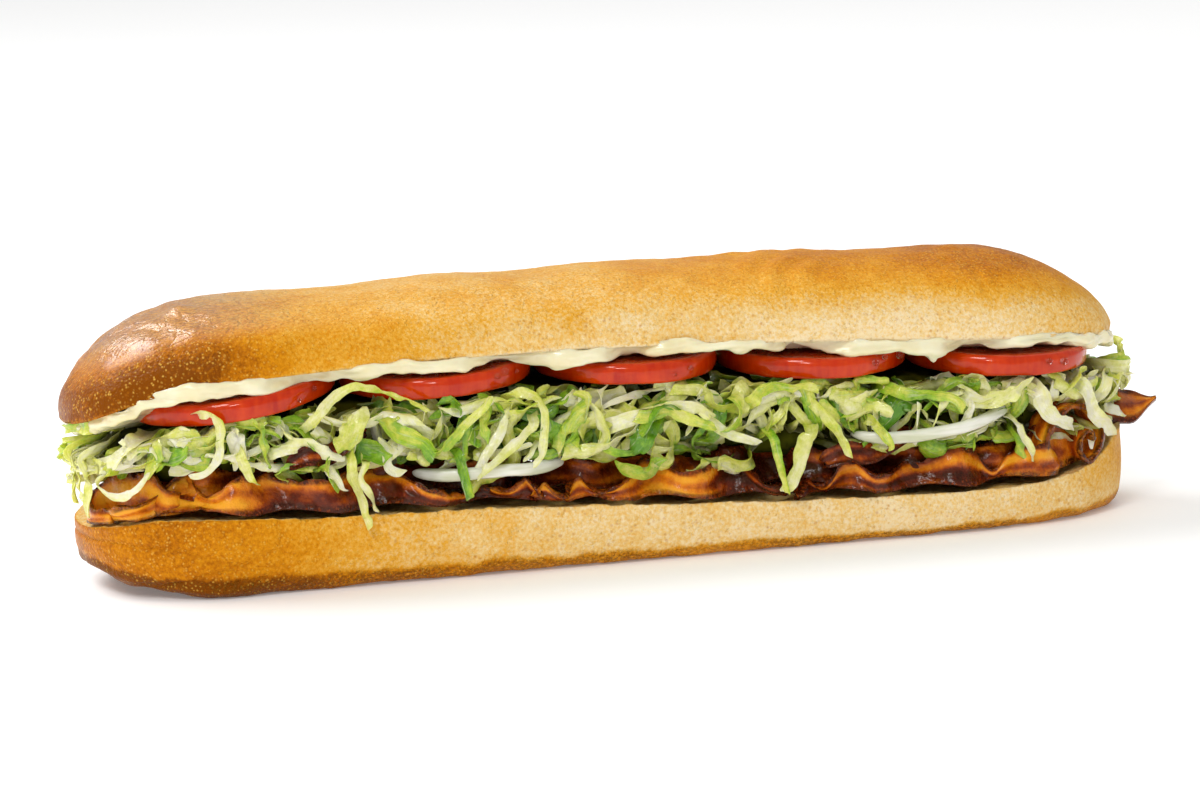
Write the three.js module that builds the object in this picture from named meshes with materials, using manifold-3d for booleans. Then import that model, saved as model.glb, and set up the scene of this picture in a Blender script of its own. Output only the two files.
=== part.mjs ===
// A twelve-inch submarine sandwich: a soft roll cut in two along its length, filled with bacon strips,
// onion, shredded lettuce, tomato slices and mayonnaise.
// Millimetres, +Z up. The roll lies along X with its flat base at z = 0, and -Y is the side shown in front.
import * as THREE from "three";
import { mergeVertices } from "three/addons/utils/BufferGeometryUtils.js";
import Module from "manifold-3d";

const wasm = await Module();
wasm.setup();

// Driving dimensions
const ROLL_LENGTH = 300;
const ROLL_WIDTH = 74;
const HALF_LENGTH = ROLL_LENGTH / 2;
const HALF_WIDTH = ROLL_WIDTH / 2;
const LEFT_END = 45; // length over which the blunt left end rounds off
const RIGHT_END = 60; // length over which the slimmer right end rounds off
const PLAN_POWER = 2.3; // superellipse power of the ends, seen from above
const DOME_POWER = 2.25; // superellipse power of the dome's cross-section
const LEFT_PROFILE_POWER = 3; // side profile of the left nose, blunt
const RIGHT_PROFILE_POWER = 2; // side profile of the right nose, tapered
const GAP = 0.35; // clearance between pieces that touch
const WAVY_GAP = 0.6; // and between the lettuce and the wavy strips
const END_STEPS = 8; // points in each quarter of the outline's round ends
const STRAIGHT_STEPS = 12; // stretches in each straight side

// Heights along the roll, as [x, z]: the lower cut face, the upper cut face, and the dome above that
const LOWER_CUT = [[-150, 18.5], [-132, 22], [-95, 20.5], [-40, 18.7], [15, 15.3], [60, 13], [100, 12],
  [125, 13.5], [150, 19]];
const UPPER_CUT = [[-150, 46.5], [-130, 56], [-100, 59.3], [-25, 60.5], [40, 58], [90, 54.7], [125, 52.5],
  [150, 50]];
const DOME_RISE = [[-150, 20.5], [-122, 19.8], [-80, 18.4], [-13, 18], [30, 18.8], [86, 21.6], [110, 21.2],
  [150, 20]];

const TOMATO_THICKNESS = 6.3;
const TOMATO_BELOW_CUT = 4.3; // a slice's top face below the upper cut face
const TOMATO_FRONT = -HALF_WIDTH - 1.4; // where each slice's front edge stands
const HALF_SLICE_CUT = 6; // how far behind the slice's middle a half slice is cut
const MAYONNAISE_THICKNESS = 3.4;
const MAYONNAISE_INSET = 7; // how far in the lumps of its edge fade out
const BACON_THICKNESS = 2.2;
const BACON_GAP = 0.8; // least height of a side strip above the lower cut face
const SIDE_STEP = 4.2; // spacing of the sections of a bacon strip at the side
const FLAT_STEP = 6; // and of one between them
const ONION_DEPTH = 2.8; // radial thickness of an onion ring
const ONION_HEIGHT = 3.4;
const LETTUCE_ABOVE_CUT = 11; // the heap's underside above the lower cut face
const LETTUCE_END_DROP = 4; // how much lower it hangs at the ends of the roll
const LETTUCE_BELOW_CUT = 11.8; // the heap's top below the upper cut face
const SHRED_THICKNESS = 1.1;
const SHRED_SECTIONS = 6;
const FILLER_SHREDS = 17;
const FILLER_START = 152; // distance along the side, from the middle of the front, to the first and last
const FILLER_SEED = 7;

const radians = THREE.MathUtils.degToRad;

// Smooth curve through [x, value] knots, with the slope at each knot taken from its neighbours
function through(knots, x) {
  const last = knots.length - 1;
  const at = THREE.MathUtils.clamp(x, knots[0][0], knots[last][0]);
  let i = 0;
  while (i < last - 1 && at > knots[i + 1][0]) i += 1;
  const slope = (k) => {
    const [a, b] = [knots[Math.max(k - 1, 0)], knots[Math.min(k + 1, last)]];
    return (b[1] - a[1]) / (b[0] - a[0]);
  };
  const [x0, y0] = knots[i];
  const [x1, y1] = knots[i + 1];
  const width = x1 - x0;
  const t = (at - x0) / width;
  const t2 = t * t;
  const t3 = t2 * t;
  return (2 * t3 - 3 * t2 + 1) * y0 + (t3 - 2 * t2 + t) * width * slope(i)
    + (3 * t2 - 2 * t3) * y1 + (t3 - t2) * width * slope(i + 1);
}

// Repeatable random numbers from 0 to 1
function randomSource(seed) {
  let state = seed >>> 0;
  return () => {
    state = (Math.imul(state, 1664525) + 1013904223) >>> 0;
    return state / 4294967296;
  };
}

const power = (value, exponent) => Math.sign(value) * Math.abs(value) ** exponent;

// The roll's outline from above, drawn in by an inset. Starts at the right tip and runs over the back
function outline(inset, straightSteps = STRAIGHT_STEPS, leftZone = LEFT_END, rightZone = RIGHT_END) {
  const width = HALF_WIDTH - inset;
  const leftCore = LEFT_END - HALF_LENGTH;
  const rightCore = HALF_LENGTH - RIGHT_END;
  const end = (core, zone, from) => Array.from({ length: 2 * END_STEPS + 1 }, (_, i) => {
    const angle = radians(from + (90 * i) / END_STEPS);
    const [c, s] = [Math.cos(angle), Math.sin(angle)];
    return [core + (zone - inset) * power(c, 2 / PLAN_POWER), width * power(s, 2 / PLAN_POWER)];
  });
  const side = (from, to, y) => Array.from({ length: straightSteps - 1 }, (_, i) => (
    [from + ((to - from) * (i + 1)) / straightSteps, y]
  ));
  const points = [...end(rightCore, rightZone, -90), ...side(rightCore, leftCore, width),
    ...end(leftCore, leftZone, 90), ...side(leftCore, rightCore, -width)];
  return [...points.slice(END_STEPS), ...points.slice(0, END_STEPS)];
}

function geometryFrom(vertices, triangles) {
  const geometry = new THREE.BufferGeometry();
  geometry.setAttribute("position", new THREE.Float32BufferAttribute(vertices.flat(), 3));
  geometry.setIndex(triangles.flat());
  geometry.computeVertexNormals();
  return geometry;
}

// A solid from rings of points stacked upwards, closed flat below and above. Each ring mirrors about XZ
function stack(rings) {
  const count = rings[0].length;
  const half = count / 2;
  const triangles = [];
  const quad = (a, b, c, d) => triangles.push([a, b, c], [a, c, d]);
  for (let level = 0; level < rings.length - 1; level += 1) {
    for (let i = 0; i < count; i += 1) {
      const [a, b] = [level * count + i, level * count + ((i + 1) % count)];
      quad(a, b, b + count, a + count);
    }
  }
  const ladder = (base, facesDown) => {
    const add = (a, b, c) => {
      const order = facesDown ? [a, c, b] : [a, b, c];
      triangles.push(order.map((i) => base + i));
    };
    add(0, 1, count - 1);
    for (let i = 1; i < half - 1; i += 1) {
      add(i, i + 1, count - i - 1);
      add(i, count - i - 1, count - i);
    }
    add(half - 1, half, half + 1);
  };
  ladder(0, true);
  ladder((rings.length - 1) * count, false);
  return geometryFrom(rings.flat(), triangles);
}

// A solid band that follows a path: sections are closed loops of points, joined in order and capped
function loft(sections) {
  const count = sections[0].length;
  const triangles = [];
  for (let s = 0; s < sections.length - 1; s += 1) {
    for (let i = 0; i < count; i += 1) {
      const [a, b] = [s * count + i, s * count + ((i + 1) % count)];
      triangles.push([a, b + count, b], [a, a + count, b + count]);
    }
  }
  const end = (sections.length - 1) * count;
  const half = count / 2;
  for (let i = 0; i < half - 1; i += 1) {
    const [a, b, c, d] = [i, i + 1, count - 2 - i, count - 1 - i];
    triangles.push([a, b, c], [a, c, d]);
    triangles.push([end + a, end + c, end + b], [end + a, end + d, end + c]);
  }
  return geometryFrom(sections.flat(), triangles);
}

// A flat band along a path, for s from 0 to 1. across is the direction of its width there
function band(path, across, halfWidth, thickness, steps) {
  const corners = [[-1, 1], [1, 1], [1, -1], [-1, -1]];
  const step = 0.01; // of s, for the path's direction
  const sections = Array.from({ length: steps + 1 }, (_, i) => {
    const s = i / steps;
    const tangent = path(Math.min(s + step, 1)).sub(path(Math.max(s - step, 0)));
    const side = across(s).normalize();
    const normal = new THREE.Vector3().crossVectors(tangent, side).normalize();
    return corners.map(([u, face]) => path(s).addScaledVector(side, u * halfWidth(s))
      .addScaledVector(normal, (face * thickness) / 2).toArray());
  });
  return loft(sections);
}

// Positions round the side of the sandwich: p is the distance along the roll's outline from the middle of the
// front, growing to the right, and out is how far a point stands outside that outline
const WALL = (() => {
  const points = outline(0, 120);
  const start = points.findLastIndex(([x, y]) => y < 0 && x < 0) + 1;
  const ordered = points.map((_, i) => points[(start + i) % points.length]);
  ordered.push(ordered[0]);
  const lengths = [0];
  for (let i = 1; i < ordered.length; i += 1) {
    const [[x0, y0], [x1, y1]] = [ordered[i - 1], ordered[i]];
    lengths.push(lengths[i - 1] + Math.hypot(x1 - x0, y1 - y0));
  }
  return { points: ordered, lengths, total: lengths[lengths.length - 1], startX: ordered[0][0] };
})();

function onWall(p, out, z) {
  const { points, lengths, total, startX } = WALL;
  const along = (((p - startX) % total) + total) % total;
  let low = 0;
  let high = lengths.length - 1;
  while (high - low > 1) {
    const middle = (low + high) >> 1;
    if (lengths[middle] <= along) low = middle;
    else high = middle;
  }
  const t = (along - lengths[low]) / (lengths[high] - lengths[low]);
  const [a, b] = [points[low], points[high]];
  const [dx, dy] = [b[0] - a[0], b[1] - a[1]];
  const length = Math.hypot(dx, dy);
  return new THREE.Vector3(a[0] + dx * t + (dy / length) * out, a[1] + dy * t - (dx / length) * out, z);
}

const wallOutward = (p) => onWall(p, 1, 0).sub(onWall(p, 0, 0));

// Solids for joining and cutting
function solidOf(geometry) {
  const plain = new THREE.BufferGeometry();
  plain.setAttribute("position", geometry.getAttribute("position").clone());
  if (geometry.index) plain.setIndex(geometry.index.clone());
  const merged = mergeVertices(plain, 1e-4);
  return new wasm.Manifold(new wasm.Mesh({
    numProp: 3,
    vertProperties: new Float32Array(merged.getAttribute("position").array),
    triVerts: new Uint32Array(merged.index.array),
  }));
}

function geometryOf(solid) {
  const mesh = solid.getMesh();
  const geometry = new THREE.BufferGeometry();
  geometry.setAttribute("position", new THREE.BufferAttribute(new Float32Array(mesh.vertProperties), 3));
  geometry.setIndex(new THREE.BufferAttribute(new Uint32Array(mesh.triVerts), 1));
  geometry.computeVertexNormals();
  return geometry;
}

// The main body of a solid, with edges shorter than a tolerance taken out
const SLIVER = 0.1;
const largest = (solid) => solid.simplify(SLIVER).decompose().sort((a, b) => b.volume() - a.volume())[0];

// The two halves of the roll
const unevenness = (x) => 0.5 * Math.sin(x / 19) + 0.35 * Math.sin(x / 8.5 + 1.3);

function upperRoll() {
  const rises = [0, 0.2, 0.42, 0.64, 0.82, 0.94, 0.995];
  const rings = rises.map((rise) => {
    const shrink = (exponent) => (1 - rise ** exponent) ** (1 / exponent);
    const inset = HALF_WIDTH * (1 - shrink(DOME_POWER));
    const left = LEFT_END * shrink(LEFT_PROFILE_POWER) + inset;
    const right = RIGHT_END * shrink(RIGHT_PROFILE_POWER) + inset;
    return outline(inset, STRAIGHT_STEPS, left, right)
      .map(([x, y]) => [x, y, through(UPPER_CUT, x) + rise * (through(DOME_RISE, x) + unevenness(x))]);
  });
  return stack(rings);
}

function lowerRoll() {
  // [inset, share of the cut face's height] from the flat base up the side and over the cut face
  const levels = [[7, 0], [4, 0.035], [1.7, 0.16], [0.4, 0.36], [-0.1, 0.68], [0, 1]];
  const rings = levels.map(([inset, share]) => outline(inset)
    .map(([x, y]) => [x, y, share * through(LOWER_CUT, x)]));
  const crumb = outline(9).map(([x, y]) => [x, y, through(LOWER_CUT, x) - 0.6]);
  return stack([...rings, crumb]);
}

// Tomato slices in a row, their right ends lifted a little: centre along the roll, radius, lift in degrees.
// Half slices fill the back between the whole ones
const SLICES = [
  { name: "tomato_1", x: -107.5, radius: 28.5, lift: 2.4 },
  { name: "tomato_2", x: -51.5, radius: 27, lift: 2.2 },
  { name: "tomato_3", x: 2.2, radius: 26.2, lift: 1.2 },
  { name: "tomato_4", x: 56.2, radius: 27.2, lift: 2.6 },
  { name: "tomato_5", x: 110.3, radius: 26.4, lift: 1.6 },
  { name: "tomato_half_1", x: -81, radius: 26, lift: 1.8, half: true },
  { name: "tomato_half_2", x: -25, radius: 26.5, lift: 2.2, half: true },
  { name: "tomato_half_3", x: 30, radius: 26, lift: 1.4, half: true },
  { name: "tomato_half_4", x: 84, radius: 26, lift: 2, half: true },
];

function tomatoSlice(slice, grow = 0) {
  const half = TOMATO_THICKNESS / 2 + grow;
  const radius = slice.radius + grow;
  const profile = [[0, -half], [radius - 1.4, -half], [radius - 0.2, -half + 1.2], [radius, 1],
    [radius - 1.1, half], [0, half]];
  const lathe = new THREE.LatheGeometry(profile.map(([r, h]) => new THREE.Vector2(r, h)), 28);
  const slope = (through(UPPER_CUT, slice.x + 20) - through(UPPER_CUT, slice.x - 20)) / 40;
  const side = slice.half ? -1 : 1;
  const place = new THREE.Matrix4().makeRotationY(-Math.atan(slope) - radians(slice.lift));
  place.setPosition(slice.x, side * (TOMATO_FRONT + slice.radius),
    through(UPPER_CUT, slice.x) - TOMATO_BELOW_CUT - TOMATO_THICKNESS / 2);
  return solidOf(lathe.rotateX(Math.PI / 2).applyMatrix4(place));
}

// Mayonnaise spread under the upper half, lumpy at its edge and pressed round the tomato slices
function mayonnaise(grow = 0) {
  const lumps = (x, y) => 0.9 * Math.sin(x / 13 + y / 20) + 0.6 * Math.sin(x / 6.1 + 2 - y / 9);
  const level = (inset, below, share) => outline(inset - grow, STRAIGHT_STEPS + 2).map(([x, y]) => {
    const lump = 0.5 * share * lumps(x, y);
    return [x, y * (1 + lump / HALF_WIDTH), through(UPPER_CUT, x) - below - lump];
  });
  return stack([
    level(MAYONNAISE_INSET, MAYONNAISE_THICKNESS + grow, 0),
    level(0.6, MAYONNAISE_THICKNESS + grow, 1),
    level(-0.9, MAYONNAISE_THICKNESS / 2, 1),
    level(0.8, GAP, 0),
  ]);
}

// Bacon strips that stand and roll along the sides: [name, place along the wall where it starts and ends,
// width, lean in degrees, waves, phase of the waves]
const SIDE_BACON = [
  ["bacon_front_left", -156, -34, 13.5, 58, 4.5, 0.6],
  ["bacon_front_middle", -31, 40, 12.5, 62, 3.6, 2.2],
  ["bacon_front_right", 43, 131, 16, 60, 3, 4.4],
  ["bacon_back_right", 212, 300, 14, 60, 3.4, 1.4],
  ["bacon_back_middle", 303, 388, 14, 62, 3.4, 3.1],
  ["bacon_back_left", 391, 472, 14, 60, 3.8, 0.2],
];
const SIDE_SWING = 3.5; // how far the waves of a strip at the side swing in and out
const SIDE_INSET = 3.6; // how far the foot of such a strip stands in from the roll's edge

function sideBacon([, from, to, width, leanBy, waves, phase], grow = 0) {
  const turns = waves * 2 * Math.PI;
  const lean = (s) => radians(leanBy + 14 * Math.sin(turns * s * 0.5 + phase * 2));
  const half = (s) => (width / 2) * (0.9 + 0.1 * Math.sin(7 * s + phase));
  const path = (s) => {
    const p = from + (to - from) * s;
    const foot = through(LOWER_CUT, onWall(p, 0, 0).x) + BACON_THICKNESS / 2 + BACON_GAP;
    const lift = 0.8 * (1 + Math.sin(turns * s + phase + 1));
    const out = SIDE_SWING * Math.sin(turns * s + phase) - SIDE_INSET - half(s) * Math.cos(lean(s));
    return onWall(p, out, foot + half(s) * Math.sin(lean(s)) + lift);
  };
  const across = (s) => {
    const inward = wallOutward(from + (to - from) * s).multiplyScalar(-Math.cos(lean(s)));
    return inward.add(new THREE.Vector3(0, 0, Math.sin(lean(s))));
  };
  const steps = Math.round((to - from) / SIDE_STEP);
  return band(path, across, (s) => half(s) + grow, BACON_THICKNESS + 2 * grow, steps);
}

// Bacon strips that lie flat between them: [name, x and y of each end, height above the lower cut face,
// width, waves, height of the waves]
const FLAT_BACON = [
  ["bacon_low_left_front", -138, -10.5, -4, -10.5, 2.6, 18, 5, 0.9],
  ["bacon_low_right_front", 2, -10.5, 134, -10.5, 2.6, 18, 5, 0.9],
  ["bacon_low_left_back", -138, 10.5, -4, 10.5, 2.6, 18, 5, 0.9],
  ["bacon_low_right_back", 2, 10.5, 134, 10.5, 2.6, 18, 5, 0.9],
  ["bacon_top_left", -138, -1, -30, 4, 8.5, 20, 4, 1.5],
  ["bacon_top_middle", -22, 4, 62, -3, 8.5, 22, 3, 1.5],
  ["bacon_top_right", 70, -1, 159, -4, 9.3, 18, 3, 1.7],
];

function flatBacon([, x0, y0, x1, y1, above, width, waves, height], grow = 0) {
  const path = (s) => {
    const x = x0 + (x1 - x0) * s;
    const wave = height * Math.sin(waves * 2 * Math.PI * s);
    return new THREE.Vector3(x, y0 + (y1 - y0) * s, through(LOWER_CUT, x) + above + wave);
  };
  const across = () => new THREE.Vector3(0, 1, 0);
  const halfWidth = (s) => (width / 2) * (0.94 + 0.06 * Math.sin(9 * s)) + grow;
  return band(path, across, halfWidth, BACON_THICKNESS + 2 * grow, Math.round((x1 - x0) / FLAT_STEP));
}

// Onion: parts of rings lying near level under the lettuce: [name, x and y of the ring's middle, radius,
// angles between which it runs, from +X towards +Y, height above the lower cut face, tilt in degrees]
const ONIONS = [
  ["onion_left", -42, -9, 29, 224, 318, 14.6, 0],
  ["onion_right", 84, -2, 37, 232, 326, 17.2, 3],
  ["onion_end", 118, 0, 26, -62, 34, 23.5, 2],
  ["onion_back", 20, 6, 31, 48, 136, 18, 0],
];
const ONION_STEPS = 14;

function onionArc([, x0, y0, radius, from, to, above, tilt], grow = 0) {
  const path = (s) => {
    const angle = radians(from + (to - from) * s);
    const reach = radius * Math.cos(angle);
    const z = through(LOWER_CUT, x0) + above + reach * Math.sin(radians(tilt));
    return new THREE.Vector3(x0 + reach, y0 + radius * Math.sin(angle), z);
  };
  const across = () => new THREE.Vector3(0, 0, 1);
  return band(path, across, () => ONION_HEIGHT / 2 + grow, ONION_DEPTH + 2 * grow, ONION_STEPS);
}

// Lettuce shreds of the front: [place along the wall and height where each leaves the heap, heading in
// degrees (0 to the right, 90 up), length, turn over its length in degrees, width]
const SHREDS = [
  [-80.5, 41, -100, 25, 24, 3.6], [-77, 39, -82, 19, -10, 2.4], [-53.5, 38, -88, 16, 6, 3.6],
  [-29, 47, -108, 27, -18, 3.4], [-73, 50, -48, 22, 10, 7], [-15, 35, 24, 37, -66, 5.4],
  [50, 37, -103, 23, -6, 5], [34.5, 36, -62, 20, 6, 3], [64, 36, -66, 12, 0, 3.2],
  [106, 33, -88, 15, -6, 2.6], [-140, 45, -104, 10, 0, 5.6], [-112, 43, -76, 13, 8, 3.4],
  [-126, 49, 42, 30, -250, 2.8], [-98, 40, 46, 46, -84, 3.2], [-63, 38, 20, 30, 70, 3.2],
  [-40, 44, 60, 34, -210, 3.2], [-8, 45, -30, 30, 40, 4.4], [12, 46, -55, 26, 30, 3.6],
  [28, 38, 40, 26, -60, 4.4], [44, 44, -20, 24, -30, 3.4], [66, 44, 10, 28, -50, 4.6],
  [88, 43, -24, 26, 36, 5.6], [112, 42, -50, 20, 10, 6], [128, 42, -38, 24, -34, 5.4],
  [-151, 47, -160, 18, 20, 4], [-163, 44, -96, 20, 12, 4.6], [-170, 41, -150, 14, 0, 3],
  [150, 41, -20, 16, -30, 4.6], [160, 40, 10, 14, -20, 4],
];

// The shreds of the ends and the back, spread evenly and kept between the bacon and the tomato
function fillerShreds() {
  const random = randomSource(FILLER_SEED);
  return Array.from({ length: FILLER_SHREDS }, (_, i) => {
    const p = FILLER_START + ((i + random()) / FILLER_SHREDS) * (WALL.total - 2 * FILLER_START);
    const x = onWall(p, 0, 0).x;
    const low = through(LOWER_CUT, x) + LETTUCE_ABOVE_CUT + 2;
    const high = through(UPPER_CUT, x) - LETTUCE_BELOW_CUT - 2;
    const heading = 360 * random();
    const turn = 150 * (random() - 0.5);
    const slope = Math.sin(radians(heading + turn / 2));
    const length = Math.min(18 + 14 * random(), (high - low) / Math.abs(slope));
    const spare = high - low - Math.abs(slope) * length;
    const z = (low + high) / 2 - (slope * length) / 2 + spare * (random() - 0.5);
    return [p, z, heading, length, turn, 3 + 2.2 * random()];
  });
}

const SHRED_ROOT = 9; // how deep inside the outline a shred starts
const SHRED_REACH = 2.2; // how far outside it most of the shred lies
const SHRED_BURIED = 0.26; // share of its length over which it leaves the heap

function shred([p0, z0, heading, length, turn, width]) {
  const samples = 12; // of the curve in the plane of the side
  const path = (s) => {
    let [p, z] = [p0, z0];
    for (let i = 0; i < samples; i += 1) {
      const angle = radians(heading + (turn * s * (i + 0.5)) / samples);
      p += (Math.cos(angle) * length * s) / samples;
      z += (Math.sin(angle) * length * s) / samples;
    }
    const emerge = THREE.MathUtils.smoothstep(s, 0, SHRED_BURIED);
    const wave = 0.8 * Math.sin(3 * Math.PI * s);
    return onWall(p, (SHRED_ROOT + SHRED_REACH) * emerge - SHRED_ROOT + wave, z);
  };
  const across = (s) => {
    const angle = radians(heading + turn * s);
    const along = onWall(p0 + 0.5, 0, 0).sub(onWall(p0 - 0.5, 0, 0)).multiplyScalar(-Math.sin(angle));
    return along.add(new THREE.Vector3(0, 0, Math.cos(angle))).addScaledVector(wallOutward(p0), 0.35);
  };
  const halfWidth = (s) => (width / 2) * (1 - 0.45 * s ** 4);
  return band(path, across, halfWidth, SHRED_THICKNESS, SHRED_SECTIONS);
}

// The body of the heap, which sags at the ends of the roll
function lettuceCore() {
  const level = (inset, share) => outline(inset).map(([x, y]) => {
    const drop = LETTUCE_END_DROP * THREE.MathUtils.smoothstep(Math.abs(x), 112, 140);
    const low = through(LOWER_CUT, x) + LETTUCE_ABOVE_CUT - drop;
    const high = through(UPPER_CUT, x) - LETTUCE_BELOW_CUT;
    return [x, y, low + (high - low) * share + 0.5 * Math.sin(x / 7 + y / 5 + 4 * share)];
  });
  return stack([level(9, 0.03), level(6, 0.2), level(4.6, 0.5), level(6, 0.8), level(9, 0.97)]);
}

// Colours
const material = (name, color, roughness) => Object.assign(
  new THREE.MeshStandardMaterial({ color: new THREE.Color(...color), roughness, metalness: 0 }),
  { name },
);
const CRUST = material("crust", [0.72, 0.42, 0.13], 0.45);
const MAYONNAISE = material("mayonnaise", [0.86, 0.8, 0.56], 0.35);
const TOMATO = material("tomato", [0.56, 0.05, 0.01], 0.2);
const LETTUCE = material("lettuce", [0.5, 0.6, 0.16], 0.4);
const ONION = material("onion", [0.78, 0.76, 0.62], 0.3);
const BACON = material("bacon", [0.28, 0.08, 0.02], 0.3);

const part = new THREE.Group();
const lettuceNeighbours = []; // everything that the lettuce fits round, each a little larger than it is

function addPiece(name, geometry, look) {
  const mesh = new THREE.Mesh(geometry, look);
  mesh.name = name;
  part.add(mesh);
}

function addPieces(list, make, look) {
  list.forEach((spec) => {
    addPiece(spec[0], make(spec), look);
    lettuceNeighbours.push(solidOf(make(spec, WAVY_GAP)));
  });
}

const lower = lowerRoll();
addPiece("roll_lower", lower, CRUST);
addPiece("roll_upper", upperRoll(), CRUST);

const whole = SLICES.filter(({ half }) => !half);
const wholeGrown = whole.map((slice) => tomatoSlice(slice, GAP));
whole.forEach((slice) => addPiece(slice.name, geometryOf(tomatoSlice(slice)), TOMATO));
// A half slice is cut straight across, and trimmed where a whole slice lies in its way
const halfSlice = (slice, grow) => (
  tomatoSlice(slice, grow).trimByPlane([0, 1, 0], HALF_SLICE_CUT - TOMATO_FRONT - slice.radius - grow)
);
const halves = SLICES.filter(({ half }) => half);
halves.forEach((slice) => {
  const trimmed = wholeGrown.reduce((solid, other) => solid.subtract(other), halfSlice(slice, 0));
  addPiece(slice.name, geometryOf(largest(trimmed)), TOMATO);
});
const slicesGrown = [...wholeGrown, ...halves.map((slice) => halfSlice(slice, GAP))];

addPieces(SIDE_BACON, sideBacon, BACON);
addPieces(FLAT_BACON, flatBacon, BACON);
addPieces(ONIONS, onionArc, ONION);

const spread = slicesGrown.reduce((solid, slice) => solid.subtract(slice), solidOf(mayonnaise()));
addPiece("mayonnaise", geometryOf(largest(spread)), MAYONNAISE);
lettuceNeighbours.push(...slicesGrown, solidOf(mayonnaise(GAP)), solidOf(lower).translate([0, 0, GAP]));

const shreds = [...SHREDS, ...fillerShreds()].map((spec) => solidOf(shred(spec)));
const heap = lettuceNeighbours.reduce((solid, other) => solid.subtract(other),
  wasm.Manifold.union([solidOf(lettuceCore()), ...shreds]));
addPiece("lettuce", geometryOf(largest(heap)), LETTUCE);

// The origin is under the middle of everything, on the surface that the sandwich stands on
const reach = new THREE.Box3().setFromObject(part, true);
part.position.set(-(reach.min.x + reach.max.x) / 2, -(reach.min.y + reach.max.y) / 2, 0);

export default part;
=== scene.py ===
import itertools
import math

import bpy
import numpy as np
from mathutils import Matrix, Vector


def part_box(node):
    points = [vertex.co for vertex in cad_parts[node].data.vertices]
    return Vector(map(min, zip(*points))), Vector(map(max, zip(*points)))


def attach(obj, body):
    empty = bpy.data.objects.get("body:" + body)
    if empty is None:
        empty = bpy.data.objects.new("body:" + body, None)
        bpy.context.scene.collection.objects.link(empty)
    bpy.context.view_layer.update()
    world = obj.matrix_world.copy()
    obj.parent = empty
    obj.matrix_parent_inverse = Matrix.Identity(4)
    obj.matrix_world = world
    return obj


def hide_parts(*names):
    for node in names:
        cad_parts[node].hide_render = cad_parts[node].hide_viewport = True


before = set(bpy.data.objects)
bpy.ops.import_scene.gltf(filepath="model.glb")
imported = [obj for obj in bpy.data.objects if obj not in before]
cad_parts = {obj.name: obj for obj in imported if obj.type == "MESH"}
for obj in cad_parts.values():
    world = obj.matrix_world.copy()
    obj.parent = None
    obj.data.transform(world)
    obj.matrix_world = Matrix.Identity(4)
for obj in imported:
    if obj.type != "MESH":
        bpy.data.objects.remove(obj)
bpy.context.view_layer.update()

MM = 0.001
lower_low, lower_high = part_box("roll_lower")
ROLL_MIDDLE = Vector(((lower_low.x + lower_high.x) / 2, (lower_low.y + lower_high.y) / 2, 0))

# Driving dimensions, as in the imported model
HALF_LENGTH = 150
HALF_WIDTH = 37
LEFT_END = 45
RIGHT_END = 60
PLAN_POWER = 2.3
DOME_POWER = 2.25
LEFT_PROFILE_POWER = 3
RIGHT_PROFILE_POWER = 2
LOWER_CUT = [(-150, 18.5), (-132, 22), (-95, 20.5), (-40, 18.7), (15, 15.3), (60, 13), (100, 12),
             (125, 13.5), (150, 19)]
UPPER_CUT = [(-150, 46.5), (-130, 56), (-100, 59.3), (-25, 60.5), (40, 58), (90, 54.7), (125, 52.5),
             (150, 50)]
DOME_RISE = [(-150, 20.5), (-122, 19.8), (-80, 18.4), (-13, 18), (30, 18.8), (86, 21.6), (110, 21.2),
             (150, 20)]
TOMATO_THICKNESS = 6.3
TOMATO_BELOW_CUT = 4.3
TOMATO_FRONT = -HALF_WIDTH - 1.4
LETTUCE_ABOVE_CUT = 11
LETTUCE_BELOW_CUT = 11.8
SLICE_DIP = math.radians(3.5)
NOSE_REACH = 2.8
RIGHT_DRAWN_IN = 2.8
# Where the mayonnaise runs down between the slices, where it stays back behind the bread's edge (x, width),
# and where it climbs over that edge (x, height, width)
MAYONNAISE_DRIPS = (-76, -22, 30, 84)
MAYONNAISE_GAPS = ((-91, 13), (-35, 14), (-2, 8), (47, 13), (98, 12))
MAYONNAISE_PEAKS = ((-141, 0.8, 7), (-128, 1.6, 6), (-84, 2.4, 7), (-60, 0.7, 8), (0, 2.8, 5), (12, 1.4, 9),
                    (56, 1.6, 6), (91, 1.8, 5), (120, 0.9, 10))

# The photograph's view: a long lens from the left front, a little above
AZIMUTH = math.radians(-15)
ELEVATION = math.radians(9)
ROLL_ANGLE = math.radians(-2.285)
CAMERA_DISTANCE = 1.3931
CAMERA_TARGET = Vector((-1.8, 0, 40.1)) * MM
LENS = 150
SENSOR = 36
FARTHEST = 50


def make_camera():
    back = Vector((math.sin(AZIMUTH) * math.cos(ELEVATION), -math.cos(AZIMUTH) * math.cos(ELEVATION),
                   math.sin(ELEVATION)))
    right = (-back).cross(Vector((0, 0, 1))).normalized()
    up = back.cross(right)
    turned_right = right * math.cos(ROLL_ANGLE) + up * math.sin(ROLL_ANGLE)
    turned_up = up * math.cos(ROLL_ANGLE) - right * math.sin(ROLL_ANGLE)
    data = bpy.data.cameras.new("camera")
    data.lens = LENS
    data.sensor_width = SENSOR
    data.clip_end = FARTHEST
    camera = bpy.data.objects.new("camera", data)
    bpy.context.scene.collection.objects.link(camera)
    rotation = Matrix((turned_right, turned_up, back)).transposed().to_4x4()
    place = CAMERA_TARGET + ROLL_MIDDLE + back * CAMERA_DISTANCE
    camera.matrix_world = Matrix.Translation(place) @ rotation
    bpy.context.scene.camera = camera


make_camera()


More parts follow.
